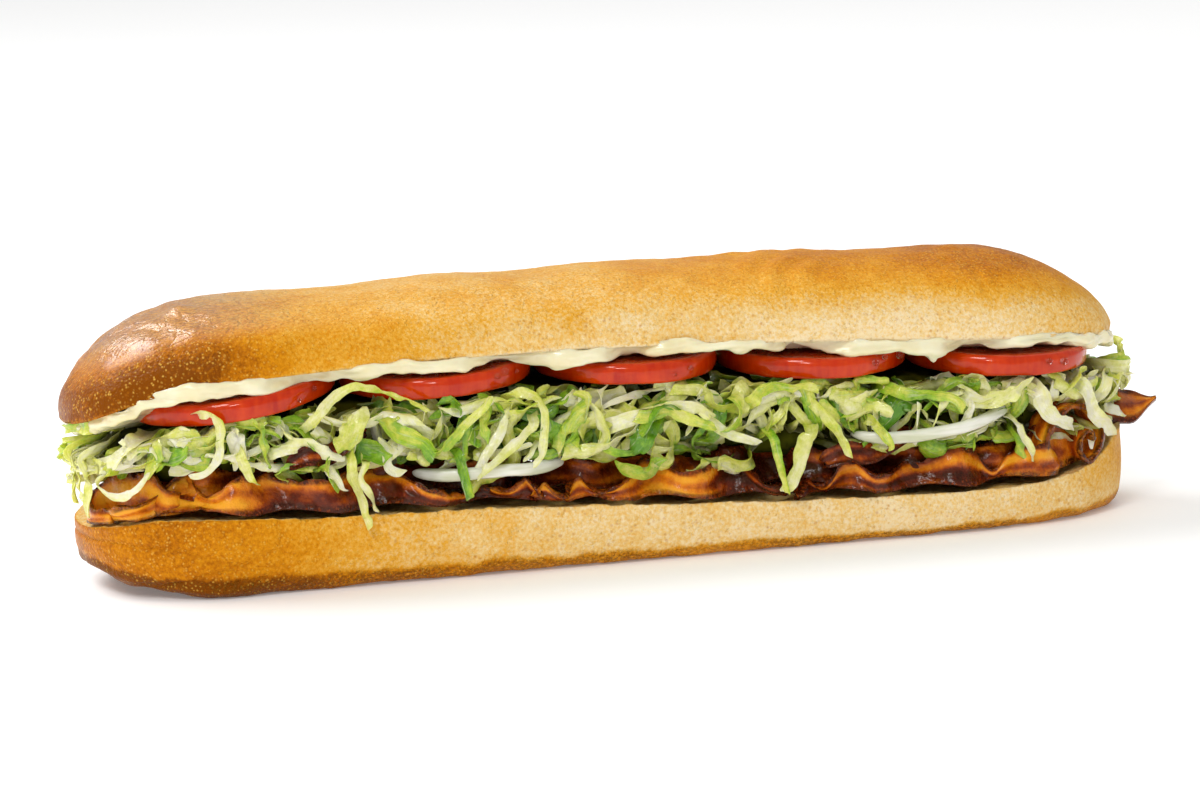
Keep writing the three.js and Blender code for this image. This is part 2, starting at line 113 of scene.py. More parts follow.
# Multipliers of the repeatable noise: for each axis, for the seed and for mixing the bits of a word
AXIS_HASH = (73856093, 19349663, 83492791)
SEED_HASH = 2654435761
MIX_HASH = (1274126177, 668265263)
WORD = 0xFFFFFFFF
HALF_WORD = 2147483648.0
NOISE_ORIGIN = 100.5
SEED_GAP = 7.3
DRAW_FACTOR = 1664525
DRAW_STEP = 1013904223
TINY = 1e-9


# Curves, noise and random numbers
def through(knots, x):
    """Smooth curve through (x, value) knots, with each slope taken from the neighbouring knots."""
    xs, ys = np.array(knots, float).T
    slopes = np.empty(len(xs))
    slopes[1:-1] = (ys[2:] - ys[:-2]) / (xs[2:] - xs[:-2])
    slopes[0] = (ys[1] - ys[0]) / (xs[1] - xs[0])
    slopes[-1] = (ys[-1] - ys[-2]) / (xs[-1] - xs[-2])
    at = np.clip(x, xs[0], xs[-1])
    i = np.clip(np.searchsorted(xs, at, side="right") - 1, 0, len(xs) - 2)
    width = xs[i + 1] - xs[i]
    t = (at - xs[i]) / width
    return ((2 * t**3 - 3 * t**2 + 1) * ys[i] + (t**3 - 2 * t**2 + t) * width * slopes[i]
            + (3 * t**2 - 2 * t**3) * ys[i + 1] + (t**3 - t**2) * width * slopes[i + 1])


def smooth(low, high, x):
    t = np.clip((np.asarray(x, float) - low) / (high - low), 0, 1)
    return t * t * (3 - 2 * t)


def bump_at(x, middle, width):
    return np.exp(-(((x - middle) / width) ** 2))


def humps(x, terms):
    """The sum of smooth humps, each with its height, middle and width."""
    return sum(height * bump_at(x, middle, width) for height, middle, width in terms)


def waves(x, terms):
    """The sum of waves, each with its height, its length over a radian and its phase."""
    return sum(height * np.sin(x / length + phase) for height, length, phase in terms)


def curves(knots, steps):
    """Each number of the knots as a smooth curve, over steps that count the knots from 0."""
    return [through(list(enumerate(column)), steps) for column in zip(*knots)]


def xyz(x, y, z):
    """Points from three coordinates, each a number or an array."""
    return np.stack(np.broadcast_arrays(x, y, z), -1)


def unit(vectors):
    return vectors / np.maximum(np.linalg.norm(vectors, axis=-1, keepdims=True), TINY)


def column(values):
    return np.asarray(values)[:, None]


def signed_power(value, exponent):
    return np.sign(value) * np.abs(value) ** exponent


def noise(points, size, seed=0):
    """Smooth random values from -1 to 1 at each point, with features about size apart."""
    q = np.asarray(points, float) / size + NOISE_ORIGIN
    cell = np.floor(q).astype(np.int64)
    f = q - cell
    f = f * f * (3 - 2 * f)
    total = np.zeros(q.shape[:-1])
    for corner in itertools.product((0, 1), repeat=3):
        c = (cell + corner) * AXIS_HASH
        h = c[..., 0] ^ c[..., 1] ^ c[..., 2] ^ (seed * SEED_HASH)
        h = ((h ^ (h >> 13)) * MIX_HASH[0]) & WORD
        h = ((h ^ (h >> 16)) * MIX_HASH[1]) & WORD
        weight = np.prod(np.where(corner, f, 1 - f), axis=-1)
        total += weight * (h / HALF_WORD - 1)
    return total


def fractal(points, size, octaves, seed=0):
    return sum(noise(points, size / 2**k, seed + k) / 2**k for k in range(octaves))


def relief(points, *layers):
    """Random relief from layers, each with its height, the size of its features, octaves and seed."""
    return sum(height * fractal(points, size, octaves, seed) for height, size, octaves, seed in layers)


def line_noise(x, size, seed=0):
    return noise(xyz(np.asarray(x, float), SEED_GAP * seed, 0.0), size, seed)


def random_source(seed):
    """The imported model's repeatable random numbers."""
    state = seed
    while True:
        state = (state * DRAW_FACTOR + DRAW_STEP) & WORD
        yield state / (2 * HALF_WORD)


# The roll's outline from above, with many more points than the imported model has
END_STEPS = 96
STRAIGHT_STEPS = 220


def outline_parts():
    quarter = np.arange(2 * END_STEPS + 1) * (math.pi / 2) / END_STEPS
    left_core = LEFT_END - HALF_LENGTH
    right_core = HALF_LENGTH - RIGHT_END
    run = np.arange(1, STRAIGHT_STEPS) / STRAIGHT_STEPS
    core, along, across = [], [], []
    for middle, start, go in ((right_core, -math.pi / 2, left_core), (left_core, math.pi / 2, right_core)):
        side = 1 if start < 0 else -1
        cosines = np.cos(quarter + start) * (np.abs(np.cos(quarter + start)) > TINY)
        core += [np.full(len(quarter), middle), middle + (go - middle) * run]
        along += [signed_power(cosines, 2 / PLAN_POWER), np.zeros(len(run))]
        across += [signed_power(np.sin(quarter + start), 2 / PLAN_POWER), np.full(len(run), side)]
    parts = [np.concatenate(a) for a in (core, along, across)]
    return [np.roll(a, -END_STEPS) for a in parts]


CORE_X, ALONG, ACROSS = outline_parts()
AROUND = len(CORE_X)


def ring(inset, left_zone=LEFT_END, right_zone=RIGHT_END):
    inset = np.asarray(inset, float)
    zone = np.where(ALONG >= 0, right_zone, left_zone) - inset
    return CORE_X + zone * ALONG, (HALF_WIDTH - inset) * ACROSS


def wall_tables():
    x, y = ring(0)
    start = np.argmax((y < 0) & (x >= 0))
    x, y = np.roll(x, -start), np.roll(y, -start)
    x, y = np.append(x, x[0]), np.append(y, y[0])
    lengths = np.concatenate([[0], np.cumsum(np.hypot(np.diff(x), np.diff(y)))])
    dx, dy = np.gradient(x, lengths), np.gradient(y, lengths)
    dx[[0, -1]], dy[[0, -1]] = 1, 0
    scale = np.hypot(dx, dy)
    return lengths + x[0], x, y, dy / scale, -dx / scale


WALL_P, WALL_X, WALL_Y, WALL_NX, WALL_NY = wall_tables()
PERIMETER = WALL_P[-1] - WALL_P[0]


def along_wall(p, values):
    return np.interp((p - WALL_P[0]) % PERIMETER + WALL_P[0], WALL_P, values)


def wall_x(p):
    return along_wall(p, WALL_X)


def wall_normal(p):
    return unit(xyz(along_wall(p, WALL_NX), along_wall(p, WALL_NY), 0.0))


def on_wall(p, out, z):
    """Points at distance p along the outline from the middle of the front, out beyond it, at height z."""
    return xyz(wall_x(p), along_wall(p, WALL_Y), z) + wall_normal(p) * np.asarray(out)[..., None]


# Meshes
def grid_faces(rows, columns):
    """The quads of a grid whose rows are closed rings."""
    i, j = np.meshgrid(np.arange(rows - 1), np.arange(columns), indexing="ij")
    a, b = i * columns + j, i * columns + (j + 1) % columns
    return np.stack([a, b, b + columns, a + columns], -1).reshape(-1, 4)


def ladder(base, faces_down):
    """Closes a ring that mirrors about the XZ plane, rung by rung."""
    half = AROUND // 2
    i = np.arange(1, half)
    quads = np.stack([i, i + 1, AROUND - i - 1, AROUND - i], -1)[:-1]
    triangles = np.array([[0, 1, AROUND - 1], [half - 1, half, half + 1]])
    if faces_down:
        quads, triangles = quads[:, ::-1], triangles[:, ::-1]
    return base + quads, base + triangles


def make_piece(name, points, quads, material, replaced, triangles=(), values=None, sharp=None):
    """A smooth mesh from millimetre points, with named numbers or colours at its points."""
    points = np.asarray(points, float).reshape(-1, 3)
    triangles = np.asarray(triangles, int).reshape(-1, 3)
    mesh = bpy.data.meshes.new(name)
    mesh.vertices.add(len(points))
    mesh.vertices.foreach_set("co", (points * MM + np.array(ROLL_MIDDLE)).ravel())
    loops = np.concatenate([quads.ravel(), triangles.ravel()])
    sizes = np.concatenate([np.full(len(quads), 4), np.full(len(triangles), 3)])
    mesh.loops.add(len(loops))
    mesh.loops.foreach_set("vertex_index", loops)
    mesh.polygons.add(len(sizes))
    mesh.polygons.foreach_set("loop_start", np.concatenate([[0], np.cumsum(sizes)[:-1]]))
    mesh.polygons.foreach_set("use_smooth", np.ones(len(sizes), bool))
    mesh.update(calc_edges=True)
    for key, array in (values or {}).items():
        attribute = mesh.attributes.new(key, "FLOAT", "POINT")
        attribute.data.foreach_set("value", np.asarray(array, np.float32).ravel())
    if sharp is not None:
        mesh.set_sharp_from_angle(angle=math.radians(sharp))
    mesh.materials.append(material)
    piece = bpy.data.objects.new(name, mesh)
    bpy.context.scene.collection.objects.link(piece)
    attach(piece, "root")
    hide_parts(*replaced)
    return piece


def displaced(grid, amount):
    """A closed grid of points moved by an amount along its own outward normals."""
    around = np.roll(grid, -1, axis=1) - np.roll(grid, 1, axis=1)
    normal = unit(np.cross(around, np.gradient(grid, axis=0)))
    return grid + normal * amount[..., None]


def stack_piece(name, grid, material, replaced, values=None):
    rows = len(grid)
    low_quads, low_triangles = ladder(0, True)
    high_quads, high_triangles = ladder((rows - 1) * AROUND, False)
    quads = np.concatenate([grid_faces(rows, AROUND), low_quads, high_quads])
    triangles = np.concatenate([low_triangles, high_triangles])
    return make_piece(name, grid, quads, material, replaced, triangles, values)


# Materials
NOISE_SPREAD = (0.3, 0.7)


def linear(r, g, b):
    """An sRGB colour, 0 to 255, as a linear colour."""
    return tuple(((c / 255 + 0.055) / 1.055) ** 2.4 if c > 10 else c / 3295 for c in (r, g, b)) + (1,)


class Shader:
    """A node material with the Principled shader, and short ways to add the nodes that feed it."""

    def __init__(self, name, **sockets):
        self.material = bpy.data.materials.new(name)
        self.material.use_nodes = True
        self.tree = self.material.node_tree
        self.shader = self.tree.nodes["Principled BSDF"]
        for key, value in sockets.items():
            self.shader.inputs[key.replace("_", " ")].default_value = value

    def node(self, kind, settings=(), **sockets):
        """A node with its settings, and with numbers or links for its sockets."""
        made = self.tree.nodes.new(kind)
        for key, value in dict(settings).items():
            setattr(made, key, value)
        for key, value in sockets.items():
            self.fill(made.inputs[key.replace("_", " ")], value)
        return made

    def fill(self, socket, value):
        if isinstance(value, bpy.types.NodeSocket):
            self.tree.links.new(value, socket)
        else:
            socket.default_value = value

    def feed(self, socket, source):
        self.fill(self.shader.inputs[socket], source)

    def surface(self, body, film):
        """The relief of the body, and the gentler one of the wet or greasy film over it."""
        self.feed("Normal", body)
        self.feed("Coat Normal", film)

    def value(self, name):
        return self.node("ShaderNodeAttribute", {"attribute_name": name}).outputs["Fac"]

    def place(self, size_mm, stretch):
        """The piece's own place, in units of a feature's size."""
        here = self.node("ShaderNodeTexCoord").outputs["Object"]
        scale = [1 / (size_mm * MM * s) for s in stretch]
        return self.node("ShaderNodeMapping", Vector=here, Scale=scale).outputs["Vector"]

    def noise_at(self, vector, detail=2, roughness=0.5):
        return self.node("ShaderNodeTexNoise", Scale=1, Detail=detail, Roughness=roughness, Vector=vector)

    def noise(self, size_mm, detail=2, roughness=0.5, stretch=(1, 1, 1)):
        return self.noise_at(self.place(size_mm, stretch), detail, roughness).outputs["Fac"]

    def fibres(self):
        """Fine streaks along a shred."""
        vector = self.node("ShaderNodeCombineXYZ", X=self.value("along"), Y=self.value("across"))
        return self.noise_at(vector.outputs["Vector"], 3, 0.6).outputs["Fac"]

    def cells(self, size_mm, feature="F1", stretch=(1, 1, 1), wobble=0.0):
        vector = self.place(size_mm, stretch)
        if wobble:
            moved = self.node("ShaderNodeVectorMath", {"operation": "MULTIPLY_ADD"})
            noise = self.noise_at(vector).outputs["Color"]
            for socket, value in zip(moved.inputs, (noise, [wobble] * 3, vector)):
                self.fill(socket, value)
            vector = moved.outputs["Vector"]
        made = self.node("ShaderNodeTexVoronoi", {"feature": feature}, Scale=1, Vector=vector)
        return made.outputs["Distance"]

    def span(self, source, low, high, to_low=0.0, to_high=1.0):
        return self.node("ShaderNodeMapRange", From_Min=low, From_Max=high, To_Min=to_low, To_Max=to_high,
                         Value=source).outputs["Result"]

    def drift(self, source, down, up):
        """A noise spread over its useful part, from below to above nothing."""
        return self.span(source, *NOISE_SPREAD, down, up)

    def math(self, operation, values):
        made = self.node("ShaderNodeMath", {"operation": operation})
        for socket, value in zip(made.inputs, values):
            self.fill(socket, value)
        return made.outputs["Value"]

    def add(self, *values):
        return self.math("ADD", values)

    def times(self, *values):
        return self.math("MULTIPLY", values)

    def ramp(self, source, *stops):
        """A row of sRGB colours, each after its place."""
        made = self.node("ShaderNodeValToRGB", Fac=source)
        ramp = made.color_ramp
        while len(ramp.elements) < len(stops):
            ramp.elements.new(0.5)
        for element, (place, *colour) in zip(ramp.elements, stops):
            element.position = place
            element.color = linear(*colour)
        return made.outputs["Color"]

    def mix(self, share, first, second):
        """Blends two colours, of which the second may be an sRGB triple."""
        made = self.node("ShaderNodeMix", {"data_type": "RGBA"})
        for name, value in (("Factor", share), ("A", first), ("B", second)):
            self.fill(made.inputs[name], linear(*value) if isinstance(value, tuple) else value)
        return made.outputs["Result"]

    def bump(self, height, strength, distance_mm, below=None):
        made = self.node("ShaderNodeBump", Strength=strength, Distance=distance_mm * MM, Height=height)
        if below is not None:
            self.fill(made.inputs["Normal"], below)
        return made.outputs["Normal"]


def crust_material():
    s = Shader("crust", Specular_IOR_Level=0.13, Specular_Tint=(1, 0.75, 0.4, 1), Subsurface_Weight=0.04,
               Subsurface_Radius=(0.003, 0.0015, 0.0008), Subsurface_Scale=1.0, Coat_Roughness=0.2,
               Coat_IOR=1.9)
    blotches = s.drift(s.noise(9, 4, 0.6), -0.07, 0.07)
    fine = s.drift(s.noise(1.0, 3, 0.65), -0.15, 0.15)
    bake_and_painted_light = s.add(s.add(s.value("bake_and_painted_light"), blotches), fine)
    colour = s.ramp(bake_and_painted_light, (0, 246, 222, 176), (0.16, 240, 202, 130), (0.36, 232, 170, 58),
                    (0.56, 218, 142, 16), (0.78, 186, 108, 4), (1, 130, 66, 0))
    blister = s.span(s.cells(1.05, wobble=0.5), 0.16, 0.4, 1, 0)
    blister_dots_and_glints = s.times(blister, s.span(s.noise(2.4), 0.38, 0.54))
    # Lighter blister dots: paler blisters in part, painted glints of the blisters in part
    colour = s.mix(s.times(blister_dots_and_glints, s.span(s.value("bake_and_painted_light"), 0, 1, 0.25, 0.58)), colour, (254, 198, 84))
    specks = s.times(s.span(s.cells(1.7), 0.12, 0.34, 1, 0), s.span(s.noise(6), 0.44, 0.58))
    colour = s.mix(s.times(specks, 0.45), colour, (190, 112, 18))
    grains = s.times(s.value("flour"), s.span(s.noise(0.9, 2, 0.7), 0.42, 0.6))
    s.feed("Base Color", s.mix(grains, colour, (120, 72, 10)))
    s.feed("Coat Weight", s.value("glaze"))
    s.feed("Roughness", s.add(s.span(s.value("bake_and_painted_light"), 0.1, 0.9, 0.5, 0.34),
                              s.drift(s.noise(3, 3), -0.05, 0.08)))
    grain = s.bump(s.noise(0.85, 2, 0.6), 0.75, 0.42)
    coarse = s.bump(s.noise(2.2, 4, 0.65), 0.6, 0.5, grain)
    cracks = s.span(s.cells(3.2, "DISTANCE_TO_EDGE", (1.7, 1, 1), 1.2), 0, 0.16)
    creases = s.times(s.add(cracks, s.drift(s.noise(1.3, 3, 0.6, (2.2, 1, 0.8)), 0, 1.2)), s.value("glaze"))
    pimples = s.bump(blister_dots_and_glints, 0.6, 0.35, s.bump(creases, 0.9, 0.55, coarse))
    s.surface(s.bump(grains, 0.8, 0.4, pimples), s.bump(creases, 0.5, 0.2))
    return s.material


def mayonnaise_material():
    s = Shader("mayonnaise", Roughness=0.24, Subsurface_Weight=0.3, Subsurface_Scale=1.0,
               Subsurface_Radius=(0.003, 0.0022, 0.0012), Coat_Weight=0.35, Coat_Roughness=0.08)
    s.feed("Base Color", s.ramp(s.noise(8, 3), (0.3, 236, 222, 174), (0.7, 248, 240, 206)))
    smears = s.bump(s.noise(3.4, 3, 0.55, (2.5, 1, 0.8)), 0.5, 0.9)
    s.surface(s.bump(s.noise(1.4, 2, 0.5, (1.6, 1, 1)), 0.3, 0.35, smears), smears)
    return s.material


def tomato_material():
    s = Shader("tomato", Roughness=0.22, Subsurface_Weight=0.12, Subsurface_Radius=(0.004, 0.0008, 0.0002),
               Subsurface_Scale=1.0, Coat_Weight=0.75, Coat_Roughness=0.06, Coat_IOR=1.45,
               Specular_IOR_Level=0.15, Specular_Tint=(1, 0.5, 0.3, 1))
    skin = s.ramp(s.noise(7, 4), (0.3, 178, 26, 0), (0.7, 214, 58, 0))
    streaks = s.span(s.noise(1.6, 2, 0.5, (1, 1, 5)), 0.35, 0.7, 0, 0.35)
    flesh = s.ramp(s.noise(3.4, 4, 0.6), (0.3, 150, 30, 4), (0.7, 204, 78, 22))
    s.feed("Base Color", s.mix(s.value("skin"), flesh, s.mix(streaks, skin, (222, 76, 4))))
    wet = s.bump(s.noise(1.6, 3, 0.6), 0.25, 0.2)
    s.surface(s.bump(s.noise(7), 0.4, 0.9, wet), s.bump(s.noise(3.5), 0.3, 0.5))
    return s.material


def lettuce_material():
    s = Shader("lettuce", Roughness=0.3, Subsurface_Weight=0.4, Subsurface_Radius=(0.0016, 0.0018, 0.0006),
               Subsurface_Scale=1.0, Specular_IOR_Level=0.4, Coat_Weight=0.35, Coat_Roughness=0.07)
    fibres = s.fibres()
    drift = s.add(s.drift(s.noise(2.2, 4, 0.65), -0.16, 0.16), s.drift(fibres, -0.11, 0.11))
    colour = s.ramp(s.add(s.value("tone"), drift), (0, 252, 249, 208), (0.24, 244, 243, 160),
                    (0.5, 216, 222, 86), (0.74, 150, 194, 40), (1, 84, 140, 14))
    colour = s.mix(s.span(fibres, 0.56, 0.68, 0, 0.35), colour, (248, 246, 196))
    # Painted shade: shreds deep in the heap are darkened towards a near-black olive
    s.feed("Base Color", s.mix(s.value("deep"), colour, (50, 48, 0)))
    crinkles = s.bump(s.noise(2, 4, 0.65), 0.7, 0.9)
    s.surface(s.bump(fibres, 0.8, 0.4, crinkles), s.bump(s.noise(2.4, 3), 0.45, 0.6))
    return s.material


def core_material():
    s = Shader("lettuce_core", Roughness=0.9, Specular_IOR_Level=0.05)
    # The core's dark colour is painted shade in the gaps between the shreds
    s.feed("Base Color", s.ramp(s.noise(5, 3), (0.35, 26, 26, 4), (0.65, 74, 76, 12)))
    return s.material


def onion_material():
    s = Shader("onion", Roughness=0.22, Subsurface_Weight=0.5, Subsurface_Radius=(0.005, 0.005, 0.004),
               Subsurface_Scale=1.0, Coat_Weight=0.4, Coat_Roughness=0.08)
    veins = s.noise(5, 2, 0.5, (3, 3, 0.4))
    s.feed("Base Color", s.ramp(veins, (0.35, 206, 208, 176), (0.65, 244, 242, 226)))
    s.surface(s.bump(s.noise(0.8, 2, 0.5, (6, 6, 0.5)), 0.5, 0.25), s.bump(s.noise(4), 0.3, 0.4))
    return s.material


def bacon_material():
    s = Shader("bacon", Specular_IOR_Level=0.18, Specular_Tint=(1, 0.65, 0.35, 1), Subsurface_Weight=0.14,
               Subsurface_Radius=(0.003, 0.0012, 0.0003), Subsurface_Scale=1.0, Coat_Weight=0.5,
               Coat_Roughness=0.13, Coat_IOR=1.42)
    meat_and_shade = s.add(s.value("meat_and_shade"), s.drift(s.noise(3.2, 4, 0.65), -0.18, 0.18))
    colour = s.ramp(meat_and_shade, (0, 244, 164, 38), (0.25, 222, 122, 16), (0.5, 160, 68, 10), (0.72, 98, 28, 6),
                    (1, 56, 15, 3))
    crisp = s.times(s.value("crisp"), s.span(s.noise(1.2, 3, 0.7), 0.3, 0.55, 0.55, 1))
    foam = s.span(s.cells(1.1), 0.1, 0.5)
    s.feed("Base Color", s.mix(crisp, colour, s.mix(foam, (140, 56, 10), (66, 18, 4))))
    s.feed("Roughness", s.span(s.noise(2, 3), 0.35, 0.7, 0.16, 0.38))
    bubbles = s.bump(s.times(foam, s.value("crisp")), 0.9, 0.4)
    blisters = s.bump(s.noise(1.0, 4, 0.7), 0.6, 0.45, bubbles)
    s.surface(s.bump(s.noise(4, 3, 0.6), 0.35, 0.8, blisters), s.bump(s.noise(1.5, 3, 0.6), 0.4, 0.35))
    return s.material


def water_material():
    s = Shader("water", IOR=1.33, Transmission_Weight=1.0)
    s.feed("Base Color", s.ramp(s.noise(3), (0.3, 250.46, 250.46, 249.31), (0.7, 255, 255, 255)))
    s.feed("Roughness", s.drift(s.noise(1), 0.01, 0.04))
    return s.material


# The upper half of the roll: the rows of its cut face (inset, height over the cut), the wander of its
# crown, and the humps that are strongest at the crown
DOME_ROWS = 56
DOME_TOP = 0.985 * math.pi / 2
UPPER_FACE = ((14, 0.3), (8, 0.3), (4, 0.25), (1.6, 0.2), (0.5, 0.12))
CROWN_WANDER = ((0.5, 19, 0), (0.35, 8.5, 1.3))
CROWN_HUMPS = ((2.4, 118, 15), (1.6, 134, 12))
# Stretches along the roll, from where something starts to where it is full
NOSE_SLOPE = (-150, -125)
BEHIND_NOSE = (-35, -75)
NOSE_TIP = (-126, -150)
NOSE_SMOOTHED = (-95, -125)
NOSE_WRINKLED = (-100, -126)
NOSE_DARK = (-90, -130)
NOSE_SHINY = (-80, -118)
LEFT_SHINY = (60, -20)
RIGHT_TIP = (124, 150)
# Relief: height, size, octaves and seed of each layer
UPPER_SWELLS = (0.5, 26, 3, 11)
UPPER_LUMPS = (0.16, 5, 2, 21)
WRINKLE_WAVER = (3, 12, 1, 31)
FOLD_WAVER = (2.5, 14, 1, 33)
PIT_NOISE = (1, 7, 1, 41)
UPPER_FACE_RELIEF = (0.35, 4, 2, 51)
# How far the top of the nose is sunk
NOSE_SUNK = 2
# Wrinkles of the nose and folds of the crown (height, length along and across), and the folds' place and
# width
WRINKLES = (0.2, 1.5, 4)
CROWN_FOLDS = (0.26, 1.7, -3.4)
FOLDED_CROWN = (48, 16)
PIT_DEPTH = 0.3
PIT_RANGE = (0.55, 0.85)
CROWN_RANGE = (0.5, 0.9)
GLAZED_RANGE = (0.52, 0.82)
LEFT_GLAZE = 0.25
NOSE_GLAZE = 0.75
FACE_PALER = 0.22
NOSE_DARKER = 0.28
FACE_BAKE = -0.1
# The nick near the nose and the dent near the right end: depth, place and width along, place and width across
NICKS = ((1.5, -121, 3.2, -8, 4), (0.7, 101, 5, -4, 6))
UPPER_BAKE_SEED = 61
# How deep the crust is baked along the side, and how that changes towards the crown: baked more golden
# at the right, and painted lighter at the left as painted sheen
BAKE_ALONG = [(-150, 0.8), (-125, 0.76), (-100, 0.6), (-70, 0.41), (-30, 0.22), (10, 0.12), (70, 0.1),
              (110, 0.12), (135, 0.18), (150, 0.3)]
CROWN_BAKE_AND_SHEEN = [(-150, -0.12), (-100, -0.2), (-40, 0.1), (30, 0.38), (90, 0.64), (150, 0.8)]


def browning(x, rise, points, seed):
    """How deep the crust is baked: a dark left nose, a golden top that carries painted sheen at its left, and
    a pale side from the middle on.
    """
    patches = relief(points, (0.08, 34, 3, seed), (0.05, 9, 2, seed + 5))
    return through(BAKE_ALONG, x) + through(CROWN_BAKE_AND_SHEEN, x) * smooth(0.25, 0.98, rise) + patches


def upper_roll():
    grid, rises = [], []
    for inset, sink in UPPER_FACE:
        x, y = ring(inset)
        grid.append(xyz(x, y, through(UPPER_CUT, x) + sink))
        rises.append(0)
    for angle in np.linspace(0, DOME_TOP, DOME_ROWS):
        rise = math.sin(angle) ** (2 / DOME_POWER)
        inset = HALF_WIDTH * (1 - math.cos(angle) ** (2 / DOME_POWER))
        left = LEFT_END * (1 - rise**LEFT_PROFILE_POWER) ** (1 / LEFT_PROFILE_POWER) + inset
        right = RIGHT_END * (1 - rise**RIGHT_PROFILE_POWER) ** (1 / RIGHT_PROFILE_POWER) + inset
        x, y = ring(inset, left, right)
        dome = through(DOME_RISE, x) + waves(x, CROWN_WANDER)
        grid.append(xyz(x, y, through(UPPER_CUT, x) + rise * dome))
        rises.append(rise)
    grid, rises = np.array(grid), column(rises) + np.zeros(AROUND)
    x, y = grid[..., 0].copy(), grid[..., 1]
    sunk = NOSE_SUNK * smooth(*NOSE_SLOPE, x) * smooth(*BEHIND_NOSE, x)
    grid[..., 2] += rises**2 * (humps(x, CROWN_HUMPS) - sunk)
    grid[..., 0] -= NOSE_REACH * smooth(*NOSE_TIP, x) * smooth(0.85, 0.2, rises)
    grid[..., 0] -= RIGHT_DRAWN_IN * smooth(*RIGHT_TIP, x) * (1 - 0.85 * rises)
    amount = relief(grid, UPPER_SWELLS) * (1 - 0.5 * smooth(*NOSE_SMOOTHED, x)) + relief(grid, UPPER_LUMPS)
    for (height, length, width), waver, where in (
            (WRINKLES, WRINKLE_WAVER, smooth(*NOSE_WRINKLED, x)),
            (CROWN_FOLDS, FOLD_WAVER, bump_at(x, *FOLDED_CROWN) * smooth(*CROWN_RANGE, rises))):
        amount += height * np.sin(x / length + y / width + relief(grid, waver)) * where
    for depth, along, length, across, width in NICKS:
        amount += depth * bump_at(x, along, length) * bump_at(y, across, width)
    amount -= PIT_DEPTH * smooth(*PIT_RANGE, relief(grid, PIT_NOISE))
    amount *= smooth(0.0, 0.12, rises)
    amount += relief(grid, UPPER_FACE_RELIEF) * (1 - smooth(0.0, 0.2, rises)) * (rises > 0)
    grid = displaced(grid, amount)
    bake_and_painted_light = browning(x, rises, grid, UPPER_BAKE_SEED) - FACE_PALER * smooth(0.06, 0, rises)
    bake_and_painted_light += NOSE_DARKER * smooth(*NOSE_DARK, x) * smooth(0.8, 0.3, rises)
    bake_and_painted_light[:len(UPPER_FACE)] = FACE_BAKE
    shine = LEFT_GLAZE * smooth(*LEFT_SHINY, x) + NOSE_GLAZE * smooth(*NOSE_SHINY, x)
    glaze = smooth(*GLAZED_RANGE, rises) * shine
    values = {"bake_and_painted_light": bake_and_painted_light, "flour": 0 * bake_and_painted_light, "glaze": glaze}
    stack_piece("upper_roll", grid, CRUST, ["roll_upper"], values)


# The lower half of the roll: its side (inset, share of the height), its foot (inset) and its cut face
# (inset, height over the cut)
SIDE_LEVELS = [(7, 0), (4, 0.035), (1.7, 0.16), (0.4, 0.36), (-0.1, 0.68), (0, 1)]
SIDE_ROWS = 44
FOOT_INSETS = (30, 24, 18, 13, 10, 8.2)
FOOT_HEIGHT = 0.05
LOWER_FACE = ((0.35, 0.18), (0.9, 0.1), (1.8, -0.1), (3.2, -0.3), (5, -0.5), (7.5, -0.6), (11, -0.6),
              (15, -0.6), (20, -0.6), (26, -0.6), (31, -0.6))
# How far the left tip and the left end are tucked up at the foot, and the right end's cut is raised
TIP_TUCK = 5.5
LEFT_TUCK = 2.6
RIGHT_RAISE = 4.2
# The lip over the left end's foot: height, share of the height and width
LIP_HEIGHT = 1.5
LIP_PLACE = (0.12, 0.1)
# The short upright crease in front: depth, place and width
CREASE_DEPTH = 0.9
CREASE_PLACE = (-101, 0.9)
# Folds in the left end of the lower half: depth, width, how far back they reach, height share at FOLDS_X,
# and its change along x
FOLD_DEPTH = 0.8
FOLD_WIDTH = 0.035
FOLDS_BACK = 12
FOLDS_X = -118
LOWER_CREASES = ((0.34, 0.016), (0.5, -0.01), (0.2, 0.006))
# Stretches along the roll, from where something starts to where it is full
TIP_TUCKED = (-138, -149)
LEFT_TUCKED = (-116, -138)
RIGHT_RAISED = (126, 148)
LEFT_LIP = (-96, -112)
LEFT_FOLDED = (-96, -108)
LEFT_BAKED = (-60, -130)
RIGHT_BAKED = (118, 148)
# Relief: height, size, octaves and seed of each layer
LOWER_RELIEF = ((0.35, 24, 3, 71), (0.14, 5, 2, 81))
FOOT_RELIEF = (0.4, 6, 3, 91)
CREASE_WAVER = (0.04, 5, 1, 93)
CRUMB_RELIEF = (0.5, 3.2, 3, 95)
BAND_WAVER = ((0.06, 9, 1, 97), (0.03, 2.5, 1, 98))
FLOUR_PATCHES = (0.35, 12, 1, 99)
LOWER_BAKE_SEED = 101
# How the lower half is baked: its share of the upper half's, what its low band adds to that (deeper baking
# and painted shade under the roll), what its two ends add, and its cut face
LOWER_BAKE = 0.75
LOWER_BAKE_MORE = 0.02
BAND_RANGE = (0.17, 0.3)
BAND_BAKE_AND_SHADE = 0.42
LEFT_BAKE = 0.14
RIGHT_BAKE = 0.22
CRUMB_BAKE = 0.2
FLOUR_MEAN = 0.65


